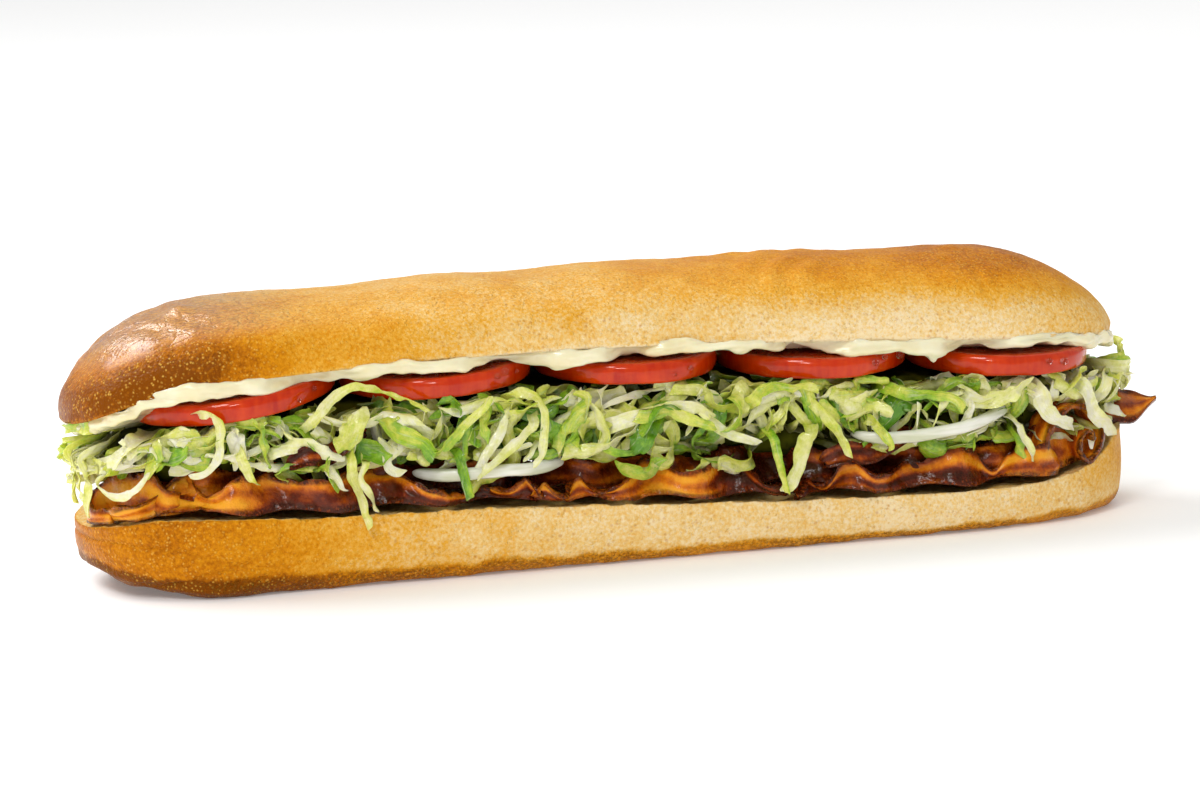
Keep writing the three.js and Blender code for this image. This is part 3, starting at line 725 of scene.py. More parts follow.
def lower_roll():
    insets, shares = curves(SIDE_LEVELS, np.linspace(0, len(SIDE_LEVELS) - 1, SIDE_ROWS))
    rows = [(inset, 0, FOOT_HEIGHT, 0) for inset in FOOT_INSETS]
    rows += [(inset, share, 0, 0) for inset, share in zip(insets, shares)]
    rows += [(inset, 1, rise, 1) for inset, rise in LOWER_FACE]
    grid = []
    for inset, share, rise, _ in rows:
        x, y = ring(inset)
        grid.append(xyz(x, y, share * through(LOWER_CUT, x) + rise))
    grid = np.array(grid)
    share, cut = (column([row[k] for row in rows]) + np.zeros(AROUND) for k in (1, 3))
    x, y = grid[..., 0], grid[..., 1]
    tucked = TIP_TUCK * smooth(*TIP_TUCKED, x) + LEFT_TUCK * smooth(*LEFT_TUCKED, x)
    grid[..., 2] += tucked * (1 - share) ** 1.5 + RIGHT_RAISE * smooth(*RIGHT_RAISED, x) * share**2
    wall = smooth(0.02, 0.2, share) * (1 - cut)
    under = (1 - smooth(0.0, 0.25, share)) * (relief(grid, FOOT_RELIEF) - 0.1)
    crease = -CREASE_DEPTH * bump_at(x, *CREASE_PLACE) * smooth(0.4, 0.7, share) * (y < 0)
    lip = LIP_HEIGHT * bump_at(share, *LIP_PLACE) * smooth(*LEFT_LIP, x) * (0.6 + 0.4 * np.sin(x / 5))
    for middle, slope in LOWER_CREASES:
        line = share - middle - slope * (x - FOLDS_X) - relief(grid, CREASE_WAVER)
        crease -= FOLD_DEPTH * bump_at(line, 0, FOLD_WIDTH) * smooth(*LEFT_FOLDED, x) * (y < FOLDS_BACK)
    crumb = cut * (relief(grid, CRUMB_RELIEF) - 0.2)
    grid = displaced(grid, (relief(grid, *LOWER_RELIEF) + crease) * wall + under * (1 - cut) + lip + crumb)
    grid[..., 2] = np.maximum(grid[..., 2], 0.0)
    low_band = 1 - smooth(*BAND_RANGE, share + relief(grid, *BAND_WAVER))
    # The low band is darker baked crust with painted shade under the roll
    bake_and_painted_light = LOWER_BAKE * browning(x, 0 * share, grid, LOWER_BAKE_SEED) + LOWER_BAKE_MORE + BAND_BAKE_AND_SHADE * low_band
    bake_and_painted_light += LEFT_BAKE * smooth(*LEFT_BAKED, x)
    bake_and_painted_light += RIGHT_BAKE * smooth(*RIGHT_BAKED, x) * smooth(0.2, 0.8, share)
    bake_and_painted_light = np.where(cut > 0, CRUMB_BAKE, bake_and_painted_light)
    flour = low_band * (1 - cut) * (FLOUR_MEAN + relief(grid, FLOUR_PATCHES))
    values = {"bake_and_painted_light": bake_and_painted_light, "flour": flour, "glaze": 0 * bake_and_painted_light}
    stack_piece("lower_roll", grid, CRUST, ["roll_lower"], values)


# Mayonnaise: a thick uneven layer that bulges out under the crust, with drips between the tomato slices.
# Its inner rows (inset) and its edge (how far out, and height as a share of the lip or of the thickness)
SPREAD_INSETS = (16, 12, 9)
SPREAD_TOP = 0.4
SPREAD_BASE = 3
BELLY = [(-1.6, 0.0), (-0.3, 0.6), (0.1, 1.0), (0.4, 0.95), (0.62, 0.7), (0.8, 0.4), (0.95, 0.12),
         (1.05, -0.12), (1.12, -0.32), (1.12, -0.5), (1.05, -0.68), (0.92, -0.84), (0.7, -0.95),
         (0.4, -1.04), (0, -1.08), (-0.7, -1.06), (-2, -1)]
# How far the back's drips, gaps and peaks are shifted along from those of the front
BACK_SHIFTS = (24, 26, 8)
# Random layers: height, size, octaves and seed
THICKNESS_LAYERS = ((1.1, 21, 2, 111), (1.1, 6, 1, 113), (0.5, 2.6, 1, 114))
REACH_LAYERS = ((0.8, 15, 1, 115), (0.6, 5, 1, 117))
LIP_SWELLS = (1.0, 17, 1, 119)
LIP_LAYERS = ((0.5, 3.6, 1, 123), (0.25, 1.8, 1, 125))
SOFT_RELIEF = (0.55, 4.2, 3, 121)
SMEAR_RELIEF = (0.4, 2.4, 1, 127)
RIDGE_NOISE = (1, 4.4, 1, 129)
# How each kind of relief is stretched along, across and upwards, and how far the ridges lean
SOFT_STRETCH = (0.5, 1, 1.7)
SMEAR_STRETCH = (0.22, 1, 2.6)
RIDGE_STRETCH = (0.4, 1, 1.2)
RIDGE_LEAN = 0.35
# Its mean thickness, its mean reach beyond the bread, its mean lip, and how far the gaps draw it back
SPREAD_THICKNESS = 2.9
SPREAD_REACH = 0.7
SPREAD_LIP = 0.2
GAP_DEPTH = 6.5


def mayonnaise():
    x0, y0 = ring(0)
    ends = xyz(x0, y0, 0.0)
    drip_shift, gap_shift, peak_shift = (shift * (y0 > 0) for shift in BACK_SHIFTS)
    thickness = SPREAD_THICKNESS + relief(ends, *THICKNESS_LAYERS)
    for x in MAYONNAISE_DRIPS:
        thickness += (2.2 + 1.4 * math.sin(x)) * bump_at(x0, x + drip_shift, 3.4 + math.cos(2 * x))
    reach = SPREAD_REACH + relief(ends, *REACH_LAYERS)
    for x, width in MAYONNAISE_GAPS:
        reach -= GAP_DEPTH * bump_at(x0, x + gap_shift, width) ** 2
    lip = SPREAD_LIP + np.maximum(relief(ends, LIP_SWELLS), 0) + relief(ends, *LIP_LAYERS)
    for x, height, width in MAYONNAISE_PEAKS:
        lip += height * bump_at(x0, x + peak_shift, width)
    lip = np.maximum(lip, 0) * smooth(-2.5, 0.3, reach)
    cut = through(UPPER_CUT, x0)
    grid = [xyz(*ring(inset), cut - SPREAD_TOP) for inset in SPREAD_INSETS]
    for out, level in BELLY:
        height = level * lip if level > 0 else level * thickness * 0.9 - 0.3 * (level == 0)
        shift = np.minimum(reach, 0) + out * (0.5 + 0.5 * np.maximum(reach, 0))
        grid.append(xyz(*ring(-shift), cut + height))
    grid += [xyz(*ring(inset), cut - SPREAD_BASE) for inset in SPREAD_INSETS[::-1]]
    grid = np.array(grid)[::-1]
    leaning = grid * RIDGE_STRETCH + grid[..., 2:] * RIDGE_LEAN
    amount = relief(grid * SOFT_STRETCH, SOFT_RELIEF) + relief(grid * SMEAR_STRETCH, SMEAR_RELIEF)
    amount += 0.55 - 1.5 * np.abs(relief(leaning, RIDGE_NOISE))
    inner = len(SPREAD_INSETS)
    amount[:inner] = 0
    amount[-inner:] = 0
    grid = displaced(grid, amount)
    grid[..., 0] -= RIGHT_DRAWN_IN * smooth(*RIGHT_TIP, grid[..., 0])
    stack_piece("mayonnaise_spread", grid, MAYONNAISE, ["mayonnaise"])


# Tomato slices
SLICES = [("tomato_1", -107.5, 28.5, 2.4, False), ("tomato_2", -51.5, 27, 2.2, False),
          ("tomato_3", 2.2, 26.2, 1.2, False), ("tomato_4", 56.2, 27.2, 2.6, False),
          ("tomato_5", 110.3, 26.4, 1.6, False), ("tomato_half_1", -81, 26, 1.8, True),
          ("tomato_half_2", -25, 26.5, 2.2, True), ("tomato_half_3", 30, 26, 1.4, True),
          ("tomato_half_4", 84, 26, 2, True)]
HALF_SLICE_CUT = 6
SLICE_SHARE = 0.93
SLICE_AROUND = 120
SLICE_HALF = SLICE_SHARE * TOMATO_THICKNESS / 2
DENT_SEED = 131
# A slice's section: (share of the radius, height over its lower face), then (share, height) at its skin,
# then (share, depth under its upper face)
SLICE_LOWER = ((0.25, 0), (0.5, 0), (0.7, 0), (0.82, 0), (0.9, 0), (0.94, 0), (0.965, 0.08), (0.98, 0.3),
               (0.988, 0.7), (0.993, 1.3), (0.998, 2.2))
SLICE_SKIN = ((1, 0.2), (0.999, 1.1))
SLICE_UPPER = ((0.994, 1.2), (0.984, 0.6), (0.97, 0.22), (0.95, 0.04), (0.92, 0), (0.85, 0), (0.7, 0),
               (0.5, 0), (0.25, 0))
SLICE_PROFILE = [(share, rise - SLICE_HALF) for share, rise in SLICE_LOWER]
SLICE_PROFILE += SLICE_SKIN
SLICE_PROFILE += [(share, SLICE_HALF - drop) for share, drop in SLICE_UPPER]
SKIN_FROM = 0.965


def slice_frame(middle_x, radius, lift, half):
    """Where a slice's middle is, and the direction of its tilted x axis."""
    slope = (through(UPPER_CUT, middle_x + 20.0) - through(UPPER_CUT, middle_x - 20.0)) / 40
    tilt = math.atan(slope) + math.radians(lift)
    side = -1 if half else 1
    z = through(UPPER_CUT, float(middle_x)) - TOMATO_BELOW_CUT - TOMATO_THICKNESS / 2
    return np.array([middle_x, side * (TOMATO_FRONT + radius), z]), tilt


def place_on_slice(points, middle, tilt):
    """Turns a slice's own points about its middle, and dips its outer edge a little."""
    x, y, z = points[..., 0], points[..., 1], points[..., 2]
    dip = math.copysign(math.tan(SLICE_DIP), -middle[1])
    level = z + (y * dip + abs(middle[1] - math.copysign(abs(TOMATO_FRONT), middle[1])) * abs(dip))
    return middle + xyz(x * math.cos(tilt) - level * math.sin(tilt), y,
                        x * math.sin(tilt) + level * math.cos(tilt))


def tomato(index, name, middle_x, radius, lift, half):
    middle, tilt = slice_frame(middle_x, radius, lift, half)
    share, height = (column(values) for values in zip(*SLICE_PROFILE))
    angle = np.arange(SLICE_AROUND) * 2 * math.pi / SLICE_AROUND
    uneven = 1 - 0.006 * (1 + np.sin(2 * angle + index)) - 0.004 * (1 + np.sin(5 * angle + 2 * index))
    grid = xyz(radius * share * uneven * np.cos(angle), radius * share * uneven * np.sin(angle), height)
    if half:
        grid[..., 1] = np.maximum(grid[..., 1], HALF_SLICE_CUT)
    dents = relief(grid, (0.25, 7, 2, DENT_SEED + index))
    grid[..., 2] += dents * np.where(np.abs(height) >= SLICE_HALF, 0.7, 0.5)
    grid[..., :2] *= 1 + 0.05 * dents[..., None] / radius
    skin = 1.0 * (share > SKIN_FROM) + 0 * grid[..., 0]
    if half:
        skin = skin * (grid[..., 1] > HALF_SLICE_CUT + 0.3)
    points = place_on_slice(grid, middle, tilt).reshape(-1, 3)
    around = np.arange(SLICE_AROUND)
    ends = []
    for base, z in ((0, -SLICE_HALF), ((len(SLICE_PROFILE) - 1) * SLICE_AROUND, SLICE_HALF)):
        hub = place_on_slice(np.array([[0, HALF_SLICE_CUT if half else 0, z]]), middle, tilt)
        fan = np.stack([base + around, base + (around + 1) % SLICE_AROUND, 0 * around + len(points)], -1)
        points = np.vstack([points, hub])
        ends.append(fan[:, ::-1] if z < 0 else fan)
    values = {"skin": np.append(skin.ravel(), [0, 0])}
    quads = grid_faces(len(SLICE_PROFILE), SLICE_AROUND)
    make_piece(name + "_slice", points, quads, TOMATO, [name], np.concatenate(ends), values)


# Water drops on the rims of the slices: which slice, angle round it, height share, radius
DROPS = [(1, -64, 0.3, 1), (1, -58, 0.5, 1.4), (1, -48, 0.2, 0.9), (2, -62, 0.1, 1), (2, -74, -0.2, 0.8),
         (3, -66, 0.2, 1.1), (3, -58, 0.5, 0.9), (3, -42, 0.3, 1.4), (4, -74, 0.3, 1.1), (4, -62, 0.1, 1.3),
         (0, -50, 0.2, 0.9), (0, -62, -0.3, 0.7), (5, 95, 0.2, 0.9), (6, 80, 0.1, 0.8), (7, 100, 0.3, 0.9)]
DROP_ROWS = 7
DROP_COLUMNS = 14
DROP_SHAPE = (0.9, 0.9, 0.8)
DROP_OUT = 0.1


def droplets():
    u = np.linspace(0.08, 0.92, DROP_ROWS)[:, None] * math.pi
    i = np.arange(DROP_COLUMNS)
    v = i[None, :] * 2 * math.pi / DROP_COLUMNS
    ball = xyz(np.sin(u) * np.cos(v), np.sin(u) * np.sin(v), np.cos(u))[::-1]
    local = np.vstack([ball.reshape(-1, 3), [[0, 0, -1], [0, 0, 1]]]) * DROP_SHAPE
    after, full = (i + 1) % DROP_COLUMNS, DROP_ROWS * DROP_COLUMNS
    low = np.stack([after, i, 0 * i + full], -1)
    high = np.stack([i + full - DROP_COLUMNS, after + full - DROP_COLUMNS, 0 * i + full + 1], -1)
    points, quads, triangles = [], [], []
    for index, degrees, level, size in DROPS:
        _, middle_x, radius, lift, half = SLICES[index]
        angle = math.radians(degrees)
        centre = np.array([math.cos(angle) * (radius + DROP_OUT), math.sin(angle) * (radius + DROP_OUT),
                           level * TOMATO_THICKNESS / 2])
        base = sum(len(part) for part in points)
        points.append(place_on_slice(local * size + centre, *slice_frame(middle_x, radius, lift, half)))
        quads.append(base + grid_faces(DROP_ROWS, DROP_COLUMNS))
        triangles += [base + low, base + high]
    make_piece("water_drops", np.vstack(points), np.concatenate(quads), WATER, [],
               np.concatenate(triangles))


# Ribbons: closed bands with a rounded section, for bacon, onion and lettuce
def ribbon_points(centre, side, normal, half_width, thickness, columns):
    """Points of ribbons with a rounded section. centre, side and normal are (..., steps, 3)."""
    u = np.linspace(-1, 1, columns)
    bulge = (1 - 0.75 * np.abs(u) ** 6) / 2
    faces = []
    for face, order in ((1, slice(None)), (-1, slice(None, None, -1))):
        offset = (face * bulge)[order]
        faces.append(centre[..., None, :] + side[..., None, :] * (half_width[..., None] * u[order])[..., None]
                     + normal[..., None, :] * (thickness[..., None] * offset)[..., None])
    return np.concatenate(faces, axis=-2)


def ribbon_faces(steps, section):
    quads = grid_faces(steps, section)
    half = section // 2
    i = np.arange(half - 1)
    cap = np.stack([i, i + 1, section - 2 - i, section - 1 - i], -1)
    far = (steps - 1) * section + cap
    return np.concatenate([quads[:, ::-1], cap, far[:, ::-1]])


def frame_along(points, reference):
    """Unit side and normal along a path, the side kept near the reference direction."""
    tangent = unit(np.gradient(points, axis=-2))
    side = unit(reference - tangent * np.sum(reference * tangent, -1, keepdims=True))
    return side, np.cross(tangent, side)


# Bacon
SIDE_BACON = [("bacon_front_left", -156, -34, 4.5, 0.6), ("bacon_front_middle", -31, 40, 3.6, 2.2),
              ("bacon_front_right", 43, 131, 3.4, 4.4), ("bacon_back_right", 212, 300, 3.4, 1.4),
              ("bacon_back_middle", 303, 388, 3.4, 3.1), ("bacon_back_left", 391, 472, 3.8, 0.2)]
FLAT_BACON = [("bacon_low_left_front", -138, -10.5, -4, -10.5, 2.6, 18, 5, 0.9),
              ("bacon_low_right_front", 2, -10.5, 134, -10.5, 2.6, 18, 5, 0.9),
              ("bacon_low_left_back", -138, 10.5, -4, 10.5, 2.6, 18, 5, 0.9),
              ("bacon_low_right_back", 2, 10.5, 134, 10.5, 2.6, 18, 5, 0.9),
              ("bacon_top_left", -138, -1, -30, 4, 8.5, 20, 4, 1.5),
              ("bacon_top_middle", -22, 4, 62, -3, 8.5, 22, 3, 1.5),
              ("bacon_top_right", 70, -1, 162, -4, 9.3, 18, 3, 1.7)]
SIDE_INSET = 3.6
FLAT_STEP = 1.3
TIP_TURN = math.radians(48)
BACON_COLUMNS = 15
BACON_STEP = 0.58
MEANDER = math.radians(46)
BACON_OVERLAP = 5
# How high the front strips reach over the bread's edge, by distance along the front
BACON_HEIGHT = [(-160, 4.4), (-150, 4.8), (-141, 5.2), (-136, 7), (-131, 10.4), (-127, 11.4), (-122, 6.4),
                (-118, 7), (-113, 11.4), (-99, 9.6), (-84, 10.6),
                (-68, 10.6), (-60, 6), (-52, 3.8), (-44, 5.6), (-38, 4.2), (-32, 8), (-27, 5.8), (-22, 3),
                (-17, 6.6), (-12, 3.8), (-5, 7), (2, 12), (11, 8.6), (20, 10.4), (27, 13.6), (33, 6.6),
                (40, 4.8), (47, 5.8), (53, 2.6), (60, 10.4), (66, 5.8), (75, 7.6), (84, 9.4), (91, 13.2),
                (98, 8.6), (103, 4.6), (108, 9), (112, 10.6), (118, 10), (124, 7.4), (131, 4)]
# How dark the strips are, and how much painted shade darkens their lower half
BACON_TONE = [(-156, 0.1), (-120, 0.14), (-100, 0.32), (-40, 0.38), (-20, 0.28), (15, 0.24), (28, 0.66),
              (44, 0.6), (56, 0.34), (100, 0.38), (108, 0.26), (131, 0.2)]
BACON_LOW_SHADE = [(-156, 0), (-114, 0.05), (-98, 0.5), (-30, 0.5), (-20, 0.15), (20, 0.05), (30, 0.34),
                  (46, 0.3), (60, 0.3), (100, 0.3), (110, 0.1), (131, 0)]
# The loop at the left strip's end: (distance along the front, out, height), and the tall curl at the right
# strip's end, seen from its edge: (distance along the front, height)
LEFT_LOOP = [(-150, -1, 4.6), (-159, -0.6, 5), (-165, -3.6, 9.5), (-160, -7.6, 13), (-149, -8.4, 13.8),
             (-139, -6.8, 12), (-133, -5.2, 8), (-129, -9, 6)]
RIGHT_CURL = [(114, 3), (116.5, 8), (118, 13), (121.5, 17.5), (126.5, 18.8), (132, 17), (137, 12.5),
              (139.5, 7), (137, 2.4), (132.5, 1.8), (129.5, 5), (131, 9), (134, 9.6), (134.6, 7)]
CURL_LINING = [(112, -6.5, 9), (118, -6.8, 14.5), (126, -6.5, 16), (133, -6, 13), (138, -5.4, 8)]
CURL_BACK = -8.5
CURL_FRONT = 0.6
CURL_SLACK = 8
# The ends of strips between the shreds: distance along and height at both ends, out, width, seed
LEFT_END_STRIP = (-98, 35, -76, 41.5, -1.2, 5.5, 62)
RIGHT_END_STRIP = (52, 23, 80, 28.5, -3.4, 6, 64)
# Each side strip and the fold behind it: how far inward, raised and darker
FOLDS = ((0, 0, 0), (-7, 4.4, 0.24))
# Heights, tones and lower-half painted shade of the strips that the front doesn't show: a mean, then
# (height, size, seed) of waves
HIDDEN_HEIGHT = (8, (2.6, 9, 30), (1.6, 22, 0))
HIDDEN_TONE = (0.3, (0.2, 30, 0))
HIDDEN_LOW_SHADE = (0.2, (0.3, 40, 0))
ROUNDED_END = 3.5
FLOPPY_BELOW = 9
LEAN = 0.32
# Seeds and tones of the loop, the curl and its lining
LOOP_LOOK = (61, 0.12)
CURL_LOOK = (63, 0.24)
LINING_LOOK = (65, 0.34)
# Random layers of the strips: height, size, octaves and seed
BOW = (1.4, 13, 1, 141)
RIPPLES = (0.6, 5, 2, 143)
RUFFLES = (1.3, 4.2, 1, 145)
RAGGED_TOP = (0.7, 2.6, 1, 146)
PLUMPNESS = (0.16, 5, 2, 147)
FOAM = (0.36, 1.3, 2, 149)
BAND_DRIFT = (1.8, 20, 1, 151)
MEAT_PATCHES = (0.22, 6, 2, 153)
CRISP_PATCHES = (0.5, 4, 1, 155)
# Half the strips' thickness and what their rims add, their bands' contrast and number, and where and how much
# they are crisp
STRIP_HALF = 0.5
RIM_MORE = 0.16
BAND_TONE = 0.2
BAND_TURNS = 5.5
CRISP_RANGE = (0.58, 0.86)
CRISP_MEAN = 0.9
SHEET_WIDTH = 7
STRIP_GAP = 37.7
BOW_GAP = 3.1


def bacon_ribbon(foot, edge, seed, tone, low_shade, rough=1.0):
    """A strip between a foot line and an edge line, with fat and meat bands, painted shade on its lower part
    and a foamy crisp edge.
    """
    v = np.sin(np.linspace(-1, 1, BACON_COLUMNS) * math.pi / 2)
    sheet = np.stack([foot + (edge - foot) * ((u + 1) / 2) for u in v], 1)
    length = np.linalg.norm(np.diff((foot + edge) / 2, axis=0), axis=1)
    s = column(np.concatenate([[0], np.cumsum(length)])) + 0 * v
    flat = xyz(s, SHEET_WIDTH * v, STRIP_GAP * seed)
    normal = unit(np.cross(np.gradient(sheet, axis=0), np.gradient(sheet, axis=1)))
    rim = smooth(0.3, 1, np.abs(v))
    lift = relief(xyz(s, 0, BOW_GAP * seed), BOW) * (1 - v**2) + relief(flat, RIPPLES)
    lift += relief(xyz(s, 0, 3 * np.sign(v)), RUFFLES) * rim
    sheet = sheet + normal * (lift * rough)[..., None]
    sheet[..., 2] += relief(flat, RAGGED_TOP) * smooth(0.6, 1, v)
    half = STRIP_HALF + relief(flat, PLUMPNESS) + RIM_MORE * rim
    half += relief(flat, FOAM) * smooth(0.5, 0.85, np.abs(v))
    front = sheet + normal * half[..., None]
    back = (sheet - normal * half[..., None])[:, ::-1]
    bands = BAND_TONE * np.sin(BAND_TURNS * v + 1.2 * seed + relief(flat * [0.5, 0, 1], BAND_DRIFT))
    meat_and_shade = column(tone) + bands + relief(flat * [0.45, 1, 1], MEAT_PATCHES)
    # Painted shade: the lower part of the strip is darker
    meat_and_shade += column(low_shade) * smooth(0.35, -0.3, v)
    crisp = np.clip(smooth(*CRISP_RANGE, np.abs(v)) * (CRISP_MEAN + relief(flat, CRISP_PATCHES)), 0, 1)
    grid = np.concatenate([front, back], axis=1)
    values = [np.concatenate([a, a[:, ::-1]], 1).ravel() for a in (meat_and_shade, crisp)]
    return grid.reshape(-1, 3), ribbon_faces(len(foot), 2 * BACON_COLUMNS), values


def bacon_piece(name, ribbons):
    points = np.concatenate([r[0] for r in ribbons])
    starts = np.cumsum([0] + [len(r[0]) for r in ribbons])[:-1]
    quads = np.concatenate([r[1] + start for r, start in zip(ribbons, starts)])
    meat_and_shade, crisp = (np.concatenate([r[2][k] for r in ribbons]) for k in (0, 1))
    make_piece(name + "_strip", points, quads, BACON, [name], (), {"meat_and_shade": meat_and_shade, "crisp": crisp})


def meander(length, waves, phase, seed):
    """A wavy line seen from above, from 0 to 1 along, and its sideways swing in millimetres."""
    s = np.linspace(0, 1, int(1.35 * length / BACON_STEP))
    turn = waves * 2 * math.pi * s + phase + 1.3 * line_noise(s * length, 24, seed)
    heading = MEANDER * (1 + 0.35 * line_noise(s * length, 30, seed + 50)) * np.sin(turn)
    along = np.cumsum(np.cos(heading))
    step = length / (along[-1] - along[0])
    sideways = np.cumsum(np.sin(heading)) * step
    sideways -= np.polyval(np.polyfit(s, sideways, 3), s)
    return (along - along[0]) / (along[-1] - along[0]), sideways, turn


def curl_ribbon(knots, seed, tone):
    """A strip through (distance along the front, out, height over the bread's edge) knots."""
    steps = np.linspace(0, len(knots) - 1, 22 * len(knots))
    p, out, height = curves(knots, steps)
    rim = through(LOWER_CUT, wall_x(p))
    height = height + 0.6 * line_noise(steps * CURL_SLACK, 5, seed)
    foot = on_wall(p, 0.8 * out, rim + 1)
    edge = on_wall(p, out, rim + height)
    return bacon_ribbon(foot, edge, seed, tone + 0 * p, 0 * p, 0.7)


def edge_on_curl(knots, seed, tone):
    """A strip rolled up about a line that points outwards, so that its long edge shows as a curl."""
    steps = np.linspace(0, len(knots) - 1, 16 * len(knots))
    p, height = curves(knots, steps)
    rim = through(LOWER_CUT, wall_x(p))
    wave = 0.7 * line_noise(steps * CURL_SLACK, 9, seed)
    back = on_wall(p, CURL_BACK + 0 * p, rim + height + 1.2)
    front = on_wall(p, CURL_FRONT + wave, rim + height)
    return bacon_ribbon(back, front, seed, tone + 0 * p, 0.2 + 0 * p, 0.35)


def loose_ribbon(p0, z0, p1, z1, out, width, seed):
    """The end of a strip that pokes out between the shreds."""
    s = np.linspace(0, 1, 70)
    p = p0 + (p1 - p0) * s
    z = z0 + (z1 - z0) * s + 1.1 * np.sin(9 * s)
    half = width / 2 * np.sqrt(np.clip(1 - (2 * s - 1) ** 6, 0.03, 1))
    sway = out + 0.8 * np.sin(7 * s) - 3.5 * smooth(0.7, 1, s)
    foot = on_wall(p, sway + 1, z - half)
    edge = on_wall(p, sway - 1, z + half)
    return bacon_ribbon(foot, edge, seed, 0.74 + 0 * s, 0 * s)


def wander(p, terms, seed):
    """A mean with random waves along a line, each with its height, size and what it adds to the seed."""
    mean, *layers = terms
    return mean + sum(height * line_noise(p, size, seed + more) for height, size, more in layers)


def side_bacon(seed, name, start, end, swings, phase):
    """A standing wavy strip along the bread's edge, with a darker fold of it behind."""
    front = start < HALF_LENGTH
    if name != "bacon_front_right":
        end += BACON_OVERLAP
    ribbons = []
    for layer, (inward, raised, darker) in enumerate(FOLDS):
        along, swing, turn = meander(end - start, swings, phase + 2 * layer, seed + 7 * layer)
        p = start + (end - start) * along
        rim = through(LOWER_CUT, wall_x(p))
        height = through(BACON_HEIGHT, p) if front and not layer else wander(p, HIDDEN_HEIGHT, seed)
        tone = through(BACON_TONE, p) if front else wander(p, HIDDEN_TONE, seed)
        low_shade = through(BACON_LOW_SHADE, p) if front else wander(p, HIDDEN_LOW_SHADE, seed)
        rounded = np.sqrt(np.clip(np.minimum(p - p[0], p[-1] - p) / ROUNDED_END, 0.05, 1))
        height = (height + 0.8 * line_noise(p, 5, seed + 3) + raised - 1) * rounded + 1
        flop = np.maximum(1 - height / FLOPPY_BELOW, 0)
        tucked = inward + 1.6 - SIDE_INSET - 2.6 * smooth(end - 2 * BACON_OVERLAP, end - 2, p)
        foot = on_wall(p, 0.7 * swing + tucked - 4 * flop, rim + 0.9 + 0.8 * (1 + np.sin(turn)) + raised / 2)
        edge = on_wall(p, 1.1 * swing + tucked - LEAN * height + 3 * flop, rim + height)
        ribbons.append(bacon_ribbon(foot, edge, seed + 20 * layer, tone + darker, low_shade))
    if name == "bacon_front_left":
        ribbons.append(curl_ribbon(LEFT_LOOP, *LOOP_LOOK))
        ribbons.append(loose_ribbon(*LEFT_END_STRIP))
    if name == "bacon_front_right":
        ribbons.append(edge_on_curl(RIGHT_CURL, *CURL_LOOK))
        ribbons.append(curl_ribbon(CURL_LINING, *LINING_LOOK))
        ribbons.append(loose_ribbon(*RIGHT_END_STRIP))
    bacon_piece(name, ribbons)


def flat_bacon(seed, name, x0, y0, x1, y1, above, width, swings, height):
    s = np.linspace(0, 1, int((x1 - x0) / FLAT_STEP))
    x = x0 + (x1 - x0) * s
    centre = xyz(x, y0 + (y1 - y0) * s,
                 through(LOWER_CUT, x) + above + height * np.sin(swings * 2 * math.pi * s))
    half = (width / 2) * (0.94 + 0.06 * np.sin(9 * s))
    tip = np.sqrt(np.clip(1 - ((s - 0.5) / 0.5) ** 8, 0.04, 1))
    turned = 0 * s
    if name == "bacon_top_right":
        tip = tip * (1 - 0.3 * smooth(0.72, 0.88, s) - 0.52 * smooth(0.9, 1, s))
        turned = TIP_TURN * smooth(0.62, 0.88, s)
    across = xyz(0, np.cos(turned), np.sin(turned)) * column(half * tip)
    tone = 0.4 - 0.25 * smooth(0.8, 0.95, s) + 0.1 * np.sin(9 * s)
    bacon_piece(name, [bacon_ribbon(centre - across, centre + across, seed, tone, 0 * s)])


# Onion
ONIONS = [("onion_left", -42, -9, 29, 224, 318, 14.6, 0), ("onion_right", 84, -2, 37, 232, 326, 17.2, 3),
          ("onion_end", 118, 0, 26, -62, 34, 23.5, 2), ("onion_back", 20, 6, 31, 48, 136, 18, 0)]
ONION_DEPTH = 2.8
ONION_HEIGHT = 3.4
ONION_STEPS = 90
ONION_COLUMNS = 9
ONION_RELIEF = (0.12, 4, 1, 161)
# The right ring bends up away from its middle, and the left one lies lower
RIGHT_ONION_BEND = 0.0055
RIGHT_ONION_MIDDLE = 80
LEFT_ONION_LOWER = 4.4


def onion(name, x0, y0, radius, start, end, above, tilt):
    angle = np.radians(np.linspace(start, end, ONION_STEPS))
    reach = radius * np.cos(angle)
    z = through(LOWER_CUT, float(x0)) + above + reach * math.sin(math.radians(tilt)) + 0.3 * np.sin(angle * 7)
    if name == "onion_right":
        z += RIGHT_ONION_BEND * (x0 + reach - RIGHT_ONION_MIDDLE) ** 2
    if name == "onion_left":
        z -= LEFT_ONION_LOWER
    centre = xyz(x0 + reach, y0 + radius * np.sin(angle), z)
    side, normal = frame_along(centre, np.array([0, 0, 1.0]))
    taper = np.sqrt(np.clip(1 - np.linspace(-1, 1, ONION_STEPS) ** 10, 0.05, 1))
    points = ribbon_points(centre, side, normal, ONION_HEIGHT / 2 * taper, ONION_DEPTH * taper, ONION_COLUMNS)
    points += relief(points, ONION_RELIEF)[..., None]
    faces = ribbon_faces(ONION_STEPS, 2 * ONION_COLUMNS)
    make_piece(name + "_ring", points, faces, ONION, [name])
